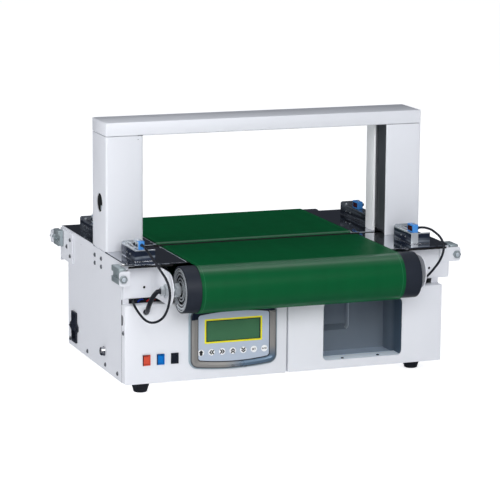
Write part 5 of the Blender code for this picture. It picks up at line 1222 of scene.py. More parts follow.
# The bay pocket: a painted highlight sheet on its side, a rolled edge in the same highlight, and a ramp at
# its foot
POCKET_BEND = (459.5, 59.5)
POCKET_TOP = 126.0
POCKET_FRONT = 89.9
POCKET_DEPTH = 0.0116
POCKET_OUTER_RADIUS = 7.8
POCKET_INNER_RADIUS = 7.4
POCKET_ROLL_RADIUS = 8.1
POCKET_ROLL_FRONT = 89.6
POCKET_ROLL_DIAMETER = 0.0016
RAMP_THICKNESS = 0.0003
POCKET_RAMP = ((380, 90, 51.6), (461.5, 90, 51.6), (461.5, 101.5, 60), (380, 101.5, 60))
LEDGE_SCREWS = ((423.7, 10.5, 16.1), (495.7, 13.1, 16.1))
LEDGE_SCREW_DOME = ((0.0, 0.0), (3.1, 0.0), (3.0, 0.8), (2.4, 1.6), (1.2, 2.1), (0.0, 2.2))
BLUE_LEAD = ((31, 24, 146), (35, 22, 150), (39, 22, 151), (43, 28, 149))
RED_LEAD = ((48, 24, 146), (53, 22, 150), (60, 24, 149), (66, 28, 147))
LEAD_DIAMETER = 0.0022
DOT_RADIUS = 0.8
DOT_DEPTH = -0.12

# Feet, in metres
FOOT_EDGE = 0.0006
FOOT_BAND = 0.0022
FOOT_TAPER_START = 0.0026
FOOT_TAPER_ENDS = 0.0050
FOOT_NECK_RADIUS = 0.0133
FOOT_SOLE_RISE = 0.0010
FOOT_SOLE_RADIUS = 0.0125
FOOT_SOLE_FLAT = 0.0114
FOOT_SAG = 0.0004
FOOT_STEPS = 8


class STRAPPING_OT_cabinet(bpy.types.Operator):
    """Paints the cabinet, the covers, the corner brackets and the frame plate."""

    bl_idname = "strapping.cabinet"
    bl_label = "Cabinet"

    def execute(self, context):
        edge = context.scene.strapping_cabinet.fold
        for node in PAINTED_NODES:
            node_copy(node, "powder_coat", edge)
        node_copy("window_bay", "satin_sheet", edge)
        for node in FOOT_NODES:
            self.make_foot(node)
        self.make_loom()
        self.make_seam_shades_and_highlights()
        self.make_painted_shade()
        self.make_bay_fittings()
        return {"FINISHED"}

    def make_bay_fittings(self):
        """The bay's front ledge with its two screws, the ledge glowing as painted light; a lighter floor
        sheet as painted light; a painted highlight on the pocket's side and rolled edge.
        """
        piece("bay_ledge_sheet", block_between(*BAY_LEDGE, FINE_EDGE), "ledge_sheet")
        piece("bay_floor_sheet", block_between(*BAY_FLOOR), "floor_sheet")
        outline = self.pocket_line(POCKET_OUTER_RADIUS) + self.pocket_line(POCKET_INNER_RADIUS)[::-1]
        piece("bay_pocket_side", slab(on_front(outline, POCKET_FRONT), Y * POCKET_DEPTH), "edge_sheet")
        ramp = [spot(*place) for place in POCKET_RAMP]
        piece("bay_pocket_ramp", slab(ramp, Z * RAMP_THICKNESS), "satin_sheet")
        domes = [turned(LEDGE_SCREW_DOME, spot(*place), "Z", BOOT_SIDES) for place in LEDGE_SCREWS]
        piece("bay_ledge_screws", merged(*domes), "black_moulding", smooth=50.0)
        x, z = POCKET_BEND
        reach = POCKET_ROLL_RADIUS
        edge = [(x + reach, height) for height in (POCKET_TOP, 110.0, 95.0, 80.0, 68.0, 60.0)]
        edge += [(x + reach * math.cos(t), z - reach * math.sin(t)) for t in (0.0, 0.26, 0.52, 0.78, 1.0)]
        rolled = [spot(x, POCKET_ROLL_FRONT, z) for x, z in edge]
        cable_look("bay_pocket_edge", rolled, POCKET_ROLL_DIAMETER, "edge_sheet")

    def pocket_line(self, radius):
        """The pocket's side from its top down round the bend at its foot."""
        x, z = POCKET_BEND
        line = [(x + radius, POCKET_TOP), (x + radius, z)]
        line += [(x + radius * math.cos(t), z - radius * math.sin(t)) for t in (0.26, 0.52, 0.78, 1.04)]
        return [Vector(place) for place in line]

    def make_seam_shades_and_highlights(self):
        """Painted shade in the covers' seams, and painted highlights on the decks' lips, in the post hole and
        on the right post's edge.
        """
        piece("cover_seals", merged(*blocks(COVER_SEAM_SHADES)), "black_moulding")
        piece("deck_gap_lips", merged(*blocks(DECK_LIP_HIGHLIGHTS)), "bright_zinc")
        piece("post_edge_strip", block_between(*POST_EDGE_GLOW, STRIP_EDGE), "edge_white")
        piece("post_hole_bracket", block_between(*POST_HOLE_GLINT, SLIP_EDGE), "bright_zinc")
        for name, place, axis in (("post_dot", POST_DOT, "Y"), ("side_panel_dot", SIDE_PANEL_DOT, "X")):
            piece(name, disc(spot(*place), axis, DOT_RADIUS, 0.0, DOT_DEPTH, DOT_SIDES), "screw")

    def make_painted_shade(self):
        """Painted shade: dark sheets behind the open holes, along the strap gap and in the gaps beside it."""
        linings = [disc(spot(*POST_HOLE), "X", POST_HOLE_RADIUS, 0.0, POST_HOLE_LINING, PIN_SIDES)]
        linings += [block_between(*STRAP_GAP_LINING, SMALL_EDGE), block_between(*POST_NOTCH)]
        for place in COVER_HOLES:
            linings.append(disc(spot(*place), "Y", COVER_HOLE_RADIUS, 0.0, COVER_HOLE_LINING, KNOB_SIDES))
        linings += blocks(SHOULDER_GAPS) + blocks(DECK_GAPS)
        piece("dark_linings", merged(*linings), "shadow_lining")

    def make_foot(self, node):
        """A tapered foot whose side sags in a little between its top and its sole."""
        low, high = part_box(node)
        middle = (low + high) / 2
        top = (high.x - low.x) / 2
        tall = high.z - low.z
        profile = [(0.0, high.z), (top - FOOT_EDGE, high.z)]
        profile += [(top, high.z - FOOT_EDGE), (top, high.z - FOOT_BAND)]
        for k in range(FOOT_STEPS + 1):
            t = k / FOOT_STEPS
            sag = math.sin(t * math.pi) * FOOT_SAG
            radius = top - FOOT_EDGE - (top - FOOT_NECK_RADIUS) * t - sag
            profile.append((radius, high.z - FOOT_TAPER_START - (tall - FOOT_TAPER_ENDS) * t))
        profile += [(FOOT_SOLE_RADIUS, low.z + FOOT_SOLE_RISE), (FOOT_SOLE_FLAT, low.z), (0.0, low.z)]
        foot = turned(profile, Vector((middle.x, middle.y, 0.0)), "Z", BAR_SIDES, unit=1.0)
        piece(node + "_moulding", foot, "foot_moulding", nodes=(node,))

    def make_loom(self):
        """Dark wiring duct and leads behind the gap over the front covers."""
        piece("wiring_duct", block_between(*WIRING_DUCT, DUCT_EDGE), "black_moulding")
        for name, route in (("blue", BLUE_LEAD), ("red", RED_LEAD)):
            points = smooth_line([spot(*place) for place in route], LEAD_STEP)
            cable_look(name + "_lead", points, LEAD_DIAMETER, name + "_wire")


# Panel screws: planes of the panels, and rows of a depth and a height, in millimetres

LEFT_WALL = 0.0
RIGHT_WALL = 619.0
FRAME_PLATE = 641.5
LEFT_SHOULDER = -2.3
RIGHT_SHOULDER = 643.8
BACK_WALL = 358.0
BOTTOM_ROW = tuple((y, 12) for y in (44, 118, 231, 345))
COVER_SCREW = (9, 94)
LEFT_POST_ROWS = tuple((y, z) for y in (181.3, 141.8) for z in (205, 190))
RIGHT_POST_ROWS = tuple((y, z) for y in (182.3, 142.8) for z in (201, 187))
REAR_BRACKET_ROWS = ((335.6, 204.7), (358.3, 188.4), (336.3, 173.2))
INLET_EARS = ((-3.3, 294, 41), (-3.3, 334, 41))
SENSOR_SHELVES = {"left": 22, "right": 558}
SHELF_INSET = 8
SHELF_HEIGHT = 243
WALL_SCREW_HEIGHT = 233

# Diameters of the smaller screws' heads, in metres
INLET_SCREW = 0.0058
SHELF_SCREW = 0.0052
BRACKET_SCREW = 0.0048


class STRAPPING_OT_fasteners(bpy.types.Operator):
    """Sets the panel screws on the sides, the brackets and the covers."""

    bl_idname = "strapping.fasteners"
    bl_label = "Fasteners"

    def execute(self, context):
        head = context.scene.strapping_cabinet.head
        tree = screw_tree()
        left = [(LEFT_WALL, y, z) for y, z in (*BOTTOM_ROW, *LEFT_POST_ROWS, COVER_SCREW)]
        screws("left_side_screws", left, -X, tree, head)
        rear = [(LEFT_SHOULDER, y, z) for y, z in REAR_BRACKET_ROWS]
        screws("rear_left_bracket_screws", rear, -X, tree, head)
        right = [(RIGHT_WALL, y, z) for y, z in (*BOTTOM_ROW, COVER_SCREW)]
        right += [(FRAME_PLATE, y, z) for y, z in RIGHT_POST_ROWS]
        screws("right_side_screws", right, X, tree, head)
        rear = [(RIGHT_SHOULDER, y, z) for y, z in REAR_BRACKET_ROWS]
        screws("rear_right_bracket_screws", rear, X, tree, head)
        back = [(x, BACK_WALL, z) for x in (20, 180, 440, 600) for z in (14, 132)]
        screws("rear_wall_screws", back, Y, tree, head)
        screws("inlet_screws", INLET_EARS, -X, tree, INLET_SCREW)
        shelf = [(x + SHELF_INSET, y, SHELF_HEIGHT) for x in SENSOR_SHELVES.values() for y in (78, 215, 341)]
        screws("shelf_screws", shelf, Z, tree, SHELF_SCREW, "plated")
        for name, x in SENSOR_SHELVES.items():
            walls = [(x, y, WALL_SCREW_HEIGHT) for y in (34, 53, 300, 319)]
            screws(name + "_bracket_screws", walls, -X, tree, BRACKET_SCREW, "plated")
        return {"FINISHED"}


# Keypad: middles, lower edges, widths and heights on the bezel, in millimetres

BEZEL_MIDDLE = 204.0
BEZEL_FOOT = 23.0
BEZEL_SIZE = (169.0, 109.0)
BEZEL_BOW = 6.0
BEZEL_CORNER = 17.0
BEZEL_LEAST_CORNER = 6.2
OPENING_FOOT = 36.2
OPENING_SIZE = (138.6, 84.5)
OPENING_BOW = 5.2
OPENING_CORNER = 6.0
LAND_STEPS = (
    (4.0, -0.3), (4.0, -6.4), (4.4, -7.4), (5.4, -8.0), (7.2, -8.3), (9.0, -8.3), (10.2, -7.9), (11.0, -7.2),
)
LIP_STEPS = ((0.0, -6.8), (0.2, -6.3), (0.2, -0.3))
RIM_STEPS = ((0.0, -0.3), (0.0, -3.0), (0.5, -4.4), (1.4, -5.0), (2.3, -5.2), (2.3, -0.3))
GROOVE_STEPS = ((2.3, -0.3), (2.3, -5.6), (4.0, -6.2), (4.0, -0.3))
EDGE_PRINT_OUTER = (36.0, 139.0, 84.9, OPENING_BOW, 6.2)
EDGE_PRINT_INNER = (37.6, 135.8, 81.7, OPENING_BOW, 5.0)
EDGE_PRINT_FACE = -6.45
MOULDING_SHARP_ANGLE = 42.0

# Display: left, lower, right and upper edge, and the corners' radius, in millimetres
PANE = (150.9, 70.0, 255.6, 109.2, 0.8)
PANE_FACE = -5.4
PANE_THICKNESS = 0.0010
RIM_OUTER = (151.3, 70.4, 255.2, 108.8, 0.8)
RIM_INNER = (152.6, 71.2, 253.6, 107.4, 0.8)
RIM_FACE = -5.9
RIM_THICKNESS = 0.0004
FRAME_OUTER = (148.0, 67.1, 258.5, 112.1, 1.2)
FRAME_INNER = (151.0, 70.1, 255.5, 109.1, 0.7)
FRAME_FACE = -6.32

# Keys: the ground's radius and face in millimetres, the dome, the print and the words in metres
GROUND_RADIUS = 6.1
GROUND_FACE = -6.34
DOME_EDGE = 0.0004
DOME_SIDE = 0.0005
DOME_RISE = 0.0001
DOME_SHARES = (0.8, 0.5, 0.2)
SYMBOL_FACE = 0.00016
SYMBOL_THICKNESS = 0.0001
WORD_FACE = 0.00012
SHORT_WORD_HEIGHT = 0.0049
LONG_WORD_HEIGHT = 0.0033
PRINT_THICKNESS = 0.00012
KEY_COUNT = 7
KEY_TURNS = (0.0, math.pi / 2, -math.pi / 2, 0.0, math.pi)
KEY_WORDS = {5: "SET", 6: "ENTER"}
BLOCK_ARROW = ((0, 5.2), (4.7, 0.4), (2.5, 0.4), (2.5, -4.8), (-2.5, -4.8), (-2.5, 0.4), (-4.7, 0.4))
CHEVRON = ((0, 2.4), (4.3, -1.2), (3.2, -3.3), (0, -0.4), (-3.2, -3.3), (-4.3, -1.2))
CHEVRON_RISES = (2.3, -1.8)


class STRAPPING_OT_keypad(bpy.types.Operator):
    """Makes the moulded bezel, the printed membrane, the display and the round keys."""

    bl_idname = "strapping.keypad"
    bl_label = "Keypad"

    def execute(self, context):
        self.make_bezel()
        node_copy("keypad_membrane", "membrane_film", FINE_EDGE)
        self.make_display()
        for k in range(KEY_COUNT):
            self.make_key(k)
        return {"FINISHED"}

    def make_bezel(self):
        """A hollow moulding with a rolled outer edge, a sloping land and a raised inner lip, and painted
        shade in the groove.
        """
        loops = self.bezel_loops(LAND_STEPS)
        wide, tall = OPENING_SIZE
        for grow, depth in LIP_STEPS:
            outline = barrel(
                BEZEL_MIDDLE, OPENING_FOOT - grow, wide + 2 * grow, tall + 2 * grow, OPENING_BOW,
                OPENING_CORNER + grow,
            )
            loops.append(on_front(outline, depth))
        land = lofted(loops, ring=True)
        piece("bezel_moulding", land, "bezel_moulding", nodes=("keypad_bezel",), smooth=MOULDING_SHARP_ANGLE)
        rim = lofted(self.bezel_loops(RIM_STEPS), ring=True)
        piece("bezel_rim", rim, "bezel_rim", smooth=MOULDING_SHARP_ANGLE)
        # Painted shade: the groove between the rim and the land in a dark metal finish
        piece("bezel_groove", lofted(self.bezel_loops(GROOVE_STEPS), ring=True), "screw")
        outer = barrel(BEZEL_MIDDLE, *EDGE_PRINT_OUTER)
        inner = barrel(BEZEL_MIDDLE, *EDGE_PRINT_INNER)
        self.print_ring("membrane_edge_print", outer, inner, EDGE_PRINT_FACE, "symbol_print")

    def bezel_loops(self, steps):
        """The bezel's outline drawn in by an inset and set at a depth, once for each step."""
        loops = []
        for inset, depth in steps:
            wide, tall = (size - 2 * inset for size in BEZEL_SIZE)
            corner = max(BEZEL_CORNER - inset, BEZEL_LEAST_CORNER)
            outline = barrel(BEZEL_MIDDLE, BEZEL_FOOT + inset, wide, tall, BEZEL_BOW, corner)
            loops.append(on_front(outline, depth))
        return loops

    def print_ring(self, name, outer, inner, depth, finish, thickness=PRINT_THICKNESS):
        """A flat printed line between two outlines."""
        piece(name, framed(on_front(outer, depth), on_front(inner, depth), Y * thickness), finish)

    def make_display(self):
        """The display's pane, its dark rim, both a bezel line and painted shade of the recess, and the
        printed frame round it.
        """
        pane = slab(on_front(rectangle(*PANE), PANE_FACE), Y * PANE_THICKNESS)
        piece("display_pane", pane, "display_glass", nodes=("display_window",))
        # The dark rim: a bezel line, and painted shade where the pane is recessed
        outer = rectangle(*RIM_OUTER)
        inner = rectangle(*RIM_INNER)
        self.print_ring("display_rim", outer, inner, RIM_FACE, "black_moulding", RIM_THICKNESS)
        outer = rectangle(*FRAME_OUTER)
        inner = rectangle(*FRAME_INNER)
        self.print_ring("display_frame_print", outer, inner, FRAME_FACE, "frame_print")

    def make_key(self, k):
        """A round dome key with its pale ground and its symbol or word."""
        node = f"key_{k + 1}"
        body = node + "_body"
        low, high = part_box(node)
        centre = (low + high) / 2
        radius = (high.x - low.x) / 2
        face = low.y
        rim = face + DOME_RISE
        profile = [(0.0, high.y), (radius, high.y), (radius, face + DOME_SIDE), (radius - DOME_EDGE, rim)]
        profile += [(radius * share, rim - DOME_RISE * (1 - share)) for share in DOME_SHARES]
        profile += [(0.0, face)]
        cap = turned(profile, Vector((centre.x, 0.0, centre.z)), "Y", PIN_SIDES, unit=1.0)
        piece(f"key_cap_{k + 1}", cap, "key_dome", body, (node,))
        place = (centre - CABINET_CORNER) / MM
        ground = circle(place.x, place.z, GROUND_RADIUS)
        hole = circle(place.x, place.z, radius / MM + 0.1)
        self.print_ring(f"key_ground_{k + 1}", ground, hole, GROUND_FACE, "key_dome")
        if k in KEY_WORDS:
            self.make_word(k, centre, face, body)
        else:
            self.make_symbol(k, centre, face, body)

    def make_symbol(self, k, centre, face, body):
        """An arrow on the first key and a double chevron on the others, turned its own way."""
        outlines = [[(u, v + rise) for u, v in CHEVRON] for rise in CHEVRON_RISES] if k else [BLOCK_ARROW]
        cosine = math.cos(KEY_TURNS[k]) * MM
        sine = math.sin(KEY_TURNS[k]) * MM
        depth = face - SYMBOL_FACE
        shapes = []
        for outline in outlines:
            loop = [
                Vector((centre.x + u * cosine - v * sine, depth, centre.z + u * sine + v * cosine))
                for u, v in outline
            ]
            shapes.append(slab(loop, Y * SYMBOL_THICKNESS))
        piece(f"key_symbol_{k + 1}", merged(*shapes), "symbol_print", body)

    def make_word(self, k, centre, face, body):
        """A key's function word in plain capitals."""
        word = KEY_WORDS[k]
        text = bpy.data.curves.new(f"key_word_{k + 1}", "FONT")
        text.body = word
        text.align_x = "CENTER"
        text.align_y = "CENTER"
        text.size = SHORT_WORD_HEIGHT if len(word) < 4 else LONG_WORD_HEIGHT
        text.extrude = 0.00004
        text.offset = 0.00012
        mesh = plain_mesh(bpy.data.objects.new(text.name, text))
        stand = Matrix.Translation(Vector((centre.x, face - WORD_FACE, centre.z)))
        mesh.transform(stand @ Matrix.Rotation(math.pi / 2, 4, "X"))
        dressed(f"key_word_{k + 1}", mesh, "symbol_print", body, smooth=0.0)


# Switches and sockets, in millimetres; a profile holds a radius and a place along the axis

DRAWER = (303.5, 37.0, 324.5, 48.0, 1.0)
DRAWER_FACE = -3.35
DRAWER_THICKNESS = 0.0007
DRAWER_EDGE = 0.0002
DRAWER_LIP = ((-4.9, 309.0, 46.2), (-4.0, 319.0, 47.4))
SOCKET_PLACE = (0, 121, 37)
SOCKET_FLANGE = (
    (0.0, 14.0), (7.6, 14.0), (7.8, 13.6), (7.8, -0.3), (8.6, -0.3), (9.0, -0.7), (9.0, -2.4), (8.6, -2.8),
    (7.8, -2.8),
)
SOCKET_THREADS = 6
SOCKET_MOUTH = ((7.6, -8.2), (7.2, -8.5), (6.2, -8.5), (6.2, -3.5), (0.0, -3.5))
SOCKET_INSERT = ((0.0, -6.4), (5.6, -6.4), (6.0, -6.0), (6.0, -3.6), (0.0, -3.6))
SOCKET_PIN = ((0.0, -6.4), (0.5, -6.4), (0.5, -7.5), (0.3, -7.8), (0.0, -7.8))
SOCKET_PINS = 4
PIN_CIRCLE = 0.0032

# The dark lines along the switches' left and top edges, in metres
TRIM_PROUD = 0.0001
TRIM_DEPTH = 0.0012
TRIM_SIDE_WIDTH = 0.0013
TRIM_TOP_WIDTH = 0.0008
TRIM_END_GAP = 0.0015


class STRAPPING_OT_switches(bpy.types.Operator):
    """Finishes the rocker switches, the power inlet and the signal socket."""

    bl_idname = "strapping.switches"
    bl_label = "Switches and sockets"

    def execute(self, context):
        for colour in ("red", "blue", "black"):
            finish = colour + "_moulding"
            node_copy(f"{colour}_switch_housing", finish, SMALL_EDGE)
            node_copy(f"{colour}_rocker", finish, ROCKER_EDGE, body=f"{colour}_rocker_body")
        for colour in ("red", "blue"):
            self.make_trim(colour)
        node_copy("power_inlet", "black_moulding", SMALL_EDGE)
        node_copy("inlet_rocker", "black_moulding", ROCKER_EDGE, body="inlet_rocker_body")
        self.make_fuse_drawer()
        self.make_socket()
        return {"FINISHED"}

    def make_trim(self, colour):
        """A dark line that shows along the left and top edge of a housing."""
        low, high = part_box(f"{colour}_switch_housing")
        front = low.y - TRIM_PROUD
        back = low.y + TRIM_DEPTH
        inner = low.x + TRIM_SIDE_WIDTH
        left = block(Vector((low.x, front, low.z)), Vector((inner, back, high.z)))
        stop = Vector((high.x - TRIM_END_GAP, back, high.z))
        top = block(Vector((inner, front, high.z - TRIM_TOP_WIDTH)), stop)
        piece(f"{colour}_switch_trim", merged(left, top), "black_moulding")

    def make_fuse_drawer(self):
        """The fuse drawer's face between the rocker and the socket, with its finger lip."""
        face = slab(on_side(rectangle(*DRAWER), DRAWER_FACE), -X * DRAWER_THICKNESS)
        lip = block_between(*DRAWER_LIP, SMALL_EDGE)
        piece("fuse_drawer_face", merged(softened(face, DRAWER_EDGE), lip), "black_moulding")

    def make_socket(self):
        """The socket's threaded shell, its insert and its pins."""
        centre = spot(*SOCKET_PLACE)
        shell = list(SOCKET_FLANGE)
        for k in range(SOCKET_THREADS):
            shell += [(7.5, -3.2 - 0.8 * k), (7.8, -3.6 - 0.8 * k)]
        shell += SOCKET_MOUTH
        piece("signal_socket_shell", turned(shell, centre, "X"), "chrome_ring", nodes=("signal_socket",))
        piece("signal_socket_insert", turned(SOCKET_INSERT, centre, "X", BAR_SIDES), "black_moulding")
        pins = []
        for k in range(SOCKET_PINS):
            turn = math.pi / 4 + 2 * math.pi / SOCKET_PINS * k
            foot = centre + (Y * math.cos(turn) + Z * math.sin(turn)) * PIN_CIRCLE
            pins.append(turned(SOCKET_PIN, foot, "X", FINE_PIN_SIDES))
        piece("signal_socket_pins", merged(*pins), "plated")


# Corners

BOLT_HEIGHT = 197.5
BOLT_PLACES = {
    ("front", "left"): -8.0,
    ("rear", "left"): -8.0,
    ("front", "right"): 653.0,
    ("rear", "right"): 649.5,
}
BOLT_WASHER = ((0.0, 0.4), (4.6, 0.4), (5.0, 0.1), (5.0, -0.5), (0.0, -0.5))
BOLT_CROWN = ((0.0, 0.7), (4.0, 0.7), (4.3, 0.5), (4.3, 0.3), (0.0, 0.3))
AXLE_BAR = ((0.0, 50.3), (5.4, 50.3), (6.0, 50.9), (6.0, 558.5), (5.4, 559.1), (0.0, 559.1))
AXLE_NUTS = ((55.3, 61.1), (73.9, 83.6), (535.4, 543.6), (548.4, 554.2))
NUT_FLATS = 22.0
NUT_EDGE = 0.9
GLAND_HEX = (15.5, 48.0, 55.2, 0.8)
GLAND_SEAL = ((0.0, 46.6), (4.7, 46.6), (5.3, 47.2), (5.6, 47.9), (0.0, 47.9))


class STRAPPING_OT_corners(bpy.types.Operator):
    """Makes the take-up blocks, the axles with their nuts and the motor gland."""

    bl_idname = "strapping.corners"
    bl_label = "Take-ups and axles"

    def execute(self, context):
        for end, depth in AXLE_DEPTHS.items():
            for side in ("left", "right"):
                node_copy(f"{end}_{side}_take_up", "zinc_cast", ROCKER_EDGE)
                self.make_bolt(end, side)
            self.make_axle(end, spot(0, depth, AXLE_HEIGHT))
        self.make_gland(spot(0, AXLE_DEPTHS["front"], AXLE_HEIGHT))
        return {"FINISHED"}

    def make_bolt(self, end, side):
        """A washer and a plated cap over the take-up's bolt head."""
        low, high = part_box(f"{end}_{side}_take_up")
        outward = -1 if end == "front" else 1
        face = low.y if end == "front" else high.y
        centre = spot(BOLT_PLACES[end, side], 0, BOLT_HEIGHT)
        centre.y = face
        for label, profile, finish in (("face", BOLT_WASHER, "screw"), ("crown", BOLT_CROWN, "bright_zinc")):
            cap = turned([(radius, outward * place) for radius, place in profile], centre, "Y", PIN_SIDES)
            piece(f"{end}_{side}_bolt_{label}", cap, finish)

    def make_axle(self, end, centre):
        """The fixed axle with its nuts."""
        nuts = [hexagon(centre, "X", NUT_FLATS, start, stop, NUT_EDGE) for start, stop in AXLE_NUTS]
        axle = merged(turned(AXLE_BAR, centre, "X", BAR_SIDES), *nuts)
        piece(f"{end}_axle_bright", axle, "plated", nodes=(f"{end}_axle",))

    def make_gland(self, centre):
        """The gland and seal through which the motor cable leaves the front axle."""
        piece("motor_gland", hexagon(centre, "X", *GLAND_HEX), "plated")
        piece("motor_gland_seal", turned(GLAND_SEAL, centre, "X", PIN_SIDES), "black_moulding")


# Drums: a disc's profile holds a radius and a place outward of the drum's end, in millimetres

DISC_STEPS = (
    (38.5, 0.0), (36.9, 0.1), (36.7, -3.2), (35.2, -3.2), (35.0, -0.4), (31.8, -0.6), (31.5, -3.6),
    (29.4, -3.6), (29.1, -1.2), (26.6, -1.4), (26.4, -5.2), (21.6, -5.2), (21.3, -1.4), (18.8, -1.4),
    (18.6, -4.2), (16.2, -4.2), (15.9, -1.2), (13.4, -1.2), (13.1, -5.0), (6.5, -5.0), (6.5, -9.0),
    (38.5, -9.0),
)
SEAL_STEPS = ((25.2, -4.9), (21.8, -4.9), (21.8, -5.6), (25.2, -5.6))
NOSE_HALF = 198.1
NOSE_END = ((0.0, 3.2), (3.0, 3.2), (3.0, 0.0), (7.4, 0.0), (8.0, -0.6))


class STRAPPING_OT_drums(bpy.types.Operator):
    """Makes the rubber-lagged drums with their turned end discs, and the nose rollers."""

    bl_idname = "strapping.drums"
    bl_label = "Drums and rollers"

    def execute(self, context):
        sizes = context.scene.strapping_conveyor
        radius = sizes.drum_radius / MM
        half = sizes.drum_length / 2 / MM
        sleeve_end = ((radius - 3.4, -0.2), (radius - 0.8, 0.0), (radius - 0.2, -0.3), (radius, -1.0))
        sleeve = self.both_ends(sleeve_end, half)
        for end, depth in AXLE_DEPTHS.items():
            centre = spot(DRUM_MIDDLE, depth, AXLE_HEIGHT)
            body = f"{end}_drum_body"
            lagging = turned(sleeve, centre, "X", DRUM_SIDES, closed=True)
            piece(f"{end}_drum_lagging", lagging, "lagging", body, (f"{end}_drum",))
            discs = self.end_rings(DISC_STEPS, centre, half, DISC_SIDES)
            piece(f"{end}_drum_discs", discs, "turned_disc", body, smooth=30.0)
            seals = self.end_rings(SEAL_STEPS, centre, half, RING_SIDES)
            piece(f"{end}_drum_seals", seals, "black_moulding", body)
        nose = self.both_ends(NOSE_END, NOSE_HALF)
        for end, depth in NOSE_DEPTHS.items():
            roller = turned(nose, spot(BELT_MIDDLE, depth, NOSE_HEIGHT), "X", BAR_SIDES)
            piece(f"{end}_nose_bright", roller, "plated", f"{end}_nose_body", (f"{end}_nose_roller",))
        return {"FINISHED"}

    def both_ends(self, profile, half):
        """A profile given at one end, with its mirror image at the other."""
        near = [(radius, half + place) for radius, place in profile]
        return near + [(radius, -place) for radius, place in reversed(near)]

    def end_rings(self, profile, centre, half, steps):
        """The same closed ring at the right and left end of a drum."""
        rings = []
        for side in (-1, 1):
            ring = [(radius, side * (half + place)) for radius, place in profile]
            rings.append(turned(ring, centre, "X", steps, closed=True))
        return merged(*rings)


# Belts

# What the sheet is drawn thinner by, so that the belt stays clear of its drum
SHEET_CLEARANCE = 0.0002
DRUM_ARC_STEPS = 96
NOSE_ARC_STEPS = 28


class STRAPPING_OT_belts(bpy.types.Operator):
    """Sweeps the two green belts round their drums and nose rollers."""

    bl_idname = "strapping.belts"
    bl_label = "Belts"

    def execute(self, context):
        sizes = context.scene.strapping_conveyor
        tree = belt_tree()
        for end in AXLE_DEPTHS:
            drum = spot(BELT_MIDDLE, AXLE_DEPTHS[end], AXLE_HEIGHT)
            nose = spot(BELT_MIDDLE, NOSE_DEPTHS[end], NOSE_HEIGHT)
            curve = open_line(end + "_belt_line", self.loop(drum, nose, sizes))
            curve.splines[0].use_cyclic_u = True
            values = {"Width": sizes.belt_width, "Sheet": sizes.belt_sheet - SHEET_CLEARANCE}
            belt = grown(f"{end}_belt_band", curve, tree, values, "belt_pvc", (f"{end}_belt",))
            shape = bmesh.new()
            shape.from_mesh(belt.data)
            bmesh.ops.remove_doubles(shape, verts=shape.verts, dist=BELT_WELD_DISTANCE)
            bmesh.ops.recalc_face_normals(shape, faces=shape.faces)
            shape.to_mesh(belt.data)
            shape.free()
        return {"FINISHED"}

    def loop(self, drum, nose, sizes):
        """The belt's middle line round the drum and the nose roller."""
        offset = sizes.running_gap + sizes.belt_sheet / 2
        across = nose - drum
        heading = math.atan2(across.z, across.y)
        lean = math.acos((sizes.drum_radius - sizes.nose_radius) / across.length)
        points = []
        for centre, radius, start, sweep, steps in (
            (drum, sizes.drum_radius + offset, heading + lean, 2 * math.pi - 2 * lean, DRUM_ARC_STEPS),
            (nose, sizes.nose_radius + offset, heading - lean, 2 * lean, NOSE_ARC_STEPS),
        ):
            turns = [start + sweep * k / steps for k in range(steps + 1)]
            points += [centre + (Y * math.cos(t) + Z * math.sin(t)) * radius for t in turns]
        return points


# Decks

# Dark sheets on the bracket shelves stand as painted shade of the adjusting slots
SLOT_STRETCHES = ((45, 68), (228, 262), (308, 330))
SLOT_SIDES = (6.0, 10.2)
SLOT_END_RADIUS = 2.05
SLOT_FACE = 243.02
# Painted highlights: bright strips along the decks' inner edges
DECK_EDGE_HIGHLIGHTS = (
    ((109.4, -14.0, 222.05), (110.4, 141.0, 222.35)),
    ((109.4, 160.0, 222.05), (110.4, 384.0, 222.35)),
)


class STRAPPING_OT_decks(bpy.types.Operator):
    """Polishes the decks and their sensor brackets, with dark sheets as painted shade of the adjusting slots
    and painted highlights on the decks' inner edges.
    """

    bl_idname = "strapping.decks"
    bl_label = "Decks"

    def execute(self, context):
        for node in ("front_deck", "rear_deck"):
            node_copy(node, "polished", SMALL_EDGE)
        slot_shades = []
        left, right = SLOT_SIDES
        for x in SENSOR_SHELVES.values():
            for start, stop in SLOT_STRETCHES:
                outline = rectangle(x + left, start, x + right, stop, SLOT_END_RADIUS)
                slot_shades.append(slab(on_top(outline, SLOT_FACE), Z * PRINT_THICKNESS))
        piece("adjusting_slots", merged(*slot_shades), "black_moulding")
        piece("deck_inner_edges", merged(*blocks(DECK_EDGE_HIGHLIGHTS)), "bright_zinc")
        return {"FINISHED"}


# Sensors: lefts, fronts and sizes of the cases, in millimetres

SENSOR_LEFTS = {"left": 29.0, "right": 561.0}
SENSOR_FRONTS = {"front": 10.0, "rear": 272.0}
SENSOR_WIDTH = 11.0
SENSOR_DEPTH = 26.0
SENSOR_FOOT = 243.3
SENSOR_TOP = 258.3
SENSOR_NUTS = (6.0, 20.0)
NUT_HEIGHT = 250.8
NUT_ENDS = (0.1, 2.4)
SMALL_NUT_FLATS = 5.8
SMALL_NUT_EDGE = 0.3
STUD_ENDS = (0.0, 4.2)
STUD_RADIUS = 1.5
WINDOW_SIDES = (3.0, 23.0)
WINDOW_CORNER = 1.0
WINDOW_FOOT = 246.2
WINDOW_TOP = 255.4
WINDOW_THICKNESS = 0.00015
BOOT_HEIGHT = 251.8
BOOT_INSET = 6
KNOB_INSET = 9
BOOT = ((0.0, -0.2), (3.0, -0.2), (3.0, 1.2), (2.6, 2.2), (2.45, 4.0), (0.0, 4.0))
KNOB = ((0.0, 0.0), (1.7, 0.0), (1.7, 2.2), (1.2, 2.8), (0.0, 2.8))


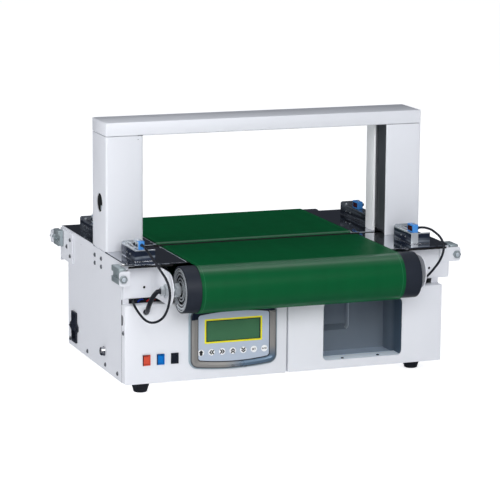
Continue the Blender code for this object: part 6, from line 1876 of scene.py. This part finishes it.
class STRAPPING_OT_sensors(bpy.types.Operator):
    """Makes the photo sensors with their windows, nuts and cable boots."""

    bl_idname = "strapping.sensors"
    bl_label = "Photo sensors"

    def execute(self, context):
        for row, y in SENSOR_FRONTS.items():
            for side, x in SENSOR_LEFTS.items():
                self.make_sensor(f"{row}_{side}_sensor", 1 if side == "left" else -1, x, y)
        return {"FINISHED"}

    def make_sensor(self, name, inward, x, y):
        """A sensor whose window looks inward and whose nuts are on its outer side."""
        far = spot(x + SENSOR_WIDTH, y + SENSOR_DEPTH, SENSOR_TOP)
        case = block(spot(x, y, SENSOR_FOOT), far, CASE_EDGE, segments=3)
        piece(name + "_case", case, "sensor_moulding", nodes=(name,))
        inner, outer = (x + SENSOR_WIDTH, x) if inward > 0 else (x, x + SENSOR_WIDTH)
        near, beyond = (y + place for place in WINDOW_SIDES)
        pane = on_side(rectangle(near, WINDOW_FOOT, beyond, WINDOW_TOP, WINDOW_CORNER), inner)
        piece(name + "_window", slab(pane, X * (WINDOW_THICKNESS * inward)), "sensor_window")
        nuts = []
        for offset in SENSOR_NUTS:
            centre = spot(outer, y + offset, NUT_HEIGHT)
            nut = sorted(-place * inward for place in NUT_ENDS)
            stud = sorted(-place * inward for place in STUD_ENDS)
            nuts.append(hexagon(centre, "X", SMALL_NUT_FLATS, *nut, SMALL_NUT_EDGE))
            nuts.append(disc(centre, "X", STUD_RADIUS, *stud, DOT_SIDES))
        piece(name + "_nuts", merged(*nuts), "black_moulding")
        if inward > 0:
            clamp = block_between((x - 1.0, y + 1.5, 244.2), (x - 0.05, y + 25.0, 257.6), STRIP_EDGE)
            over = block_between((x - 1.0, y + 8.0, 258.35), (x + 11.2, y + 25.0, 259.2), SMALL_EDGE)
            piece(name + "_clamp", merged(clamp, over), "bright_zinc")
            forward = [(radius, -place) for radius, place in BOOT]
            boot = turned(forward, spot(x + SENSOR_WIDTH / 2, y, BOOT_HEIGHT), "Y", BOOT_SIDES)
        else:
            boot = turned(BOOT, spot(x + SENSOR_WIDTH, y + BOOT_INSET, BOOT_HEIGHT), "X", BOOT_SIDES)
        piece(name + "_boot", boot, "black_moulding")
        knob = turned(KNOB, spot(x + SENSOR_WIDTH / 2, y + KNOB_INSET, SENSOR_TOP), "Z", KNOB_SIDES)
        piece(name + "_knob", knob, "plated")


# Arch

class STRAPPING_OT_arch(bpy.types.Operator):
    """Paints the strapping arch and makes the strap guide in its right post."""

    bl_idname = "strapping.arch"
    bl_label = "Arch"

    def execute(self, context):
        edge = context.scene.strapping_cabinet.fold
        for node in ("arch_left_post", "arch_right_post", "arch_top_bar"):
            node_copy(node, "powder_coat", edge * ARCH_FOLD_SHARE)
        node_copy("strap_guide", "guide_moulding", GUIDE_EDGE)
        node_copy("sealing_head", "head_coat", HEAD_EDGE)
        return {"FINISHED"}


class STRAPPING_PT_panel(bpy.types.Panel):
    """Lists the machine's settings and steps."""

    bl_idname = "STRAPPING_PT_panel"
    bl_label = "Strapping Machine"
    bl_space_type = "VIEW_3D"
    bl_region_type = "UI"
    bl_category = "Strapping"

    def draw(self, context):
        for key in SETTINGS:
            box = self.layout.box()
            group = getattr(context.scene, key)
            for name in group.__annotations__:
                box.prop(group, name)
        for step in STEPS:
            self.layout.operator("strapping." + step)


SETTINGS = {
    "strapping_cabinet": CabinetSettings,
    "strapping_conveyor": ConveyorSettings,
    "strapping_keypad": KeypadSettings,
    "strapping_cables": CableSettings,
    "strapping_stage": StageSettings,
}
STEPS = (
    "stage", "cables", "cabinet", "fasteners", "keypad", "switches", "corners", "drums", "belts", "decks",
    "sensors", "arch",
)
CLASSES = (
    *SETTINGS.values(),
    STRAPPING_OT_stage,
    STRAPPING_OT_cables,
    STRAPPING_OT_cabinet,
    STRAPPING_OT_fasteners,
    STRAPPING_OT_keypad,
    STRAPPING_OT_switches,
    STRAPPING_OT_corners,
    STRAPPING_OT_drums,
    STRAPPING_OT_belts,
    STRAPPING_OT_decks,
    STRAPPING_OT_sensors,
    STRAPPING_OT_arch,
    STRAPPING_PT_panel,
)


def register():
    for kind in CLASSES:
        bpy.utils.register_class(kind)
    for key, kind in SETTINGS.items():
        setattr(bpy.types.Scene, key, PointerProperty(type=kind))


def unregister():
    for key in SETTINGS:
        delattr(bpy.types.Scene, key)
    for kind in reversed(CLASSES):
        bpy.utils.unregister_class(kind)


def main():
    register()
    make_finishes(bpy.context.scene)
    for step in STEPS:
        getattr(bpy.ops.strapping, step)()


if __name__ == "__main__":
    main()
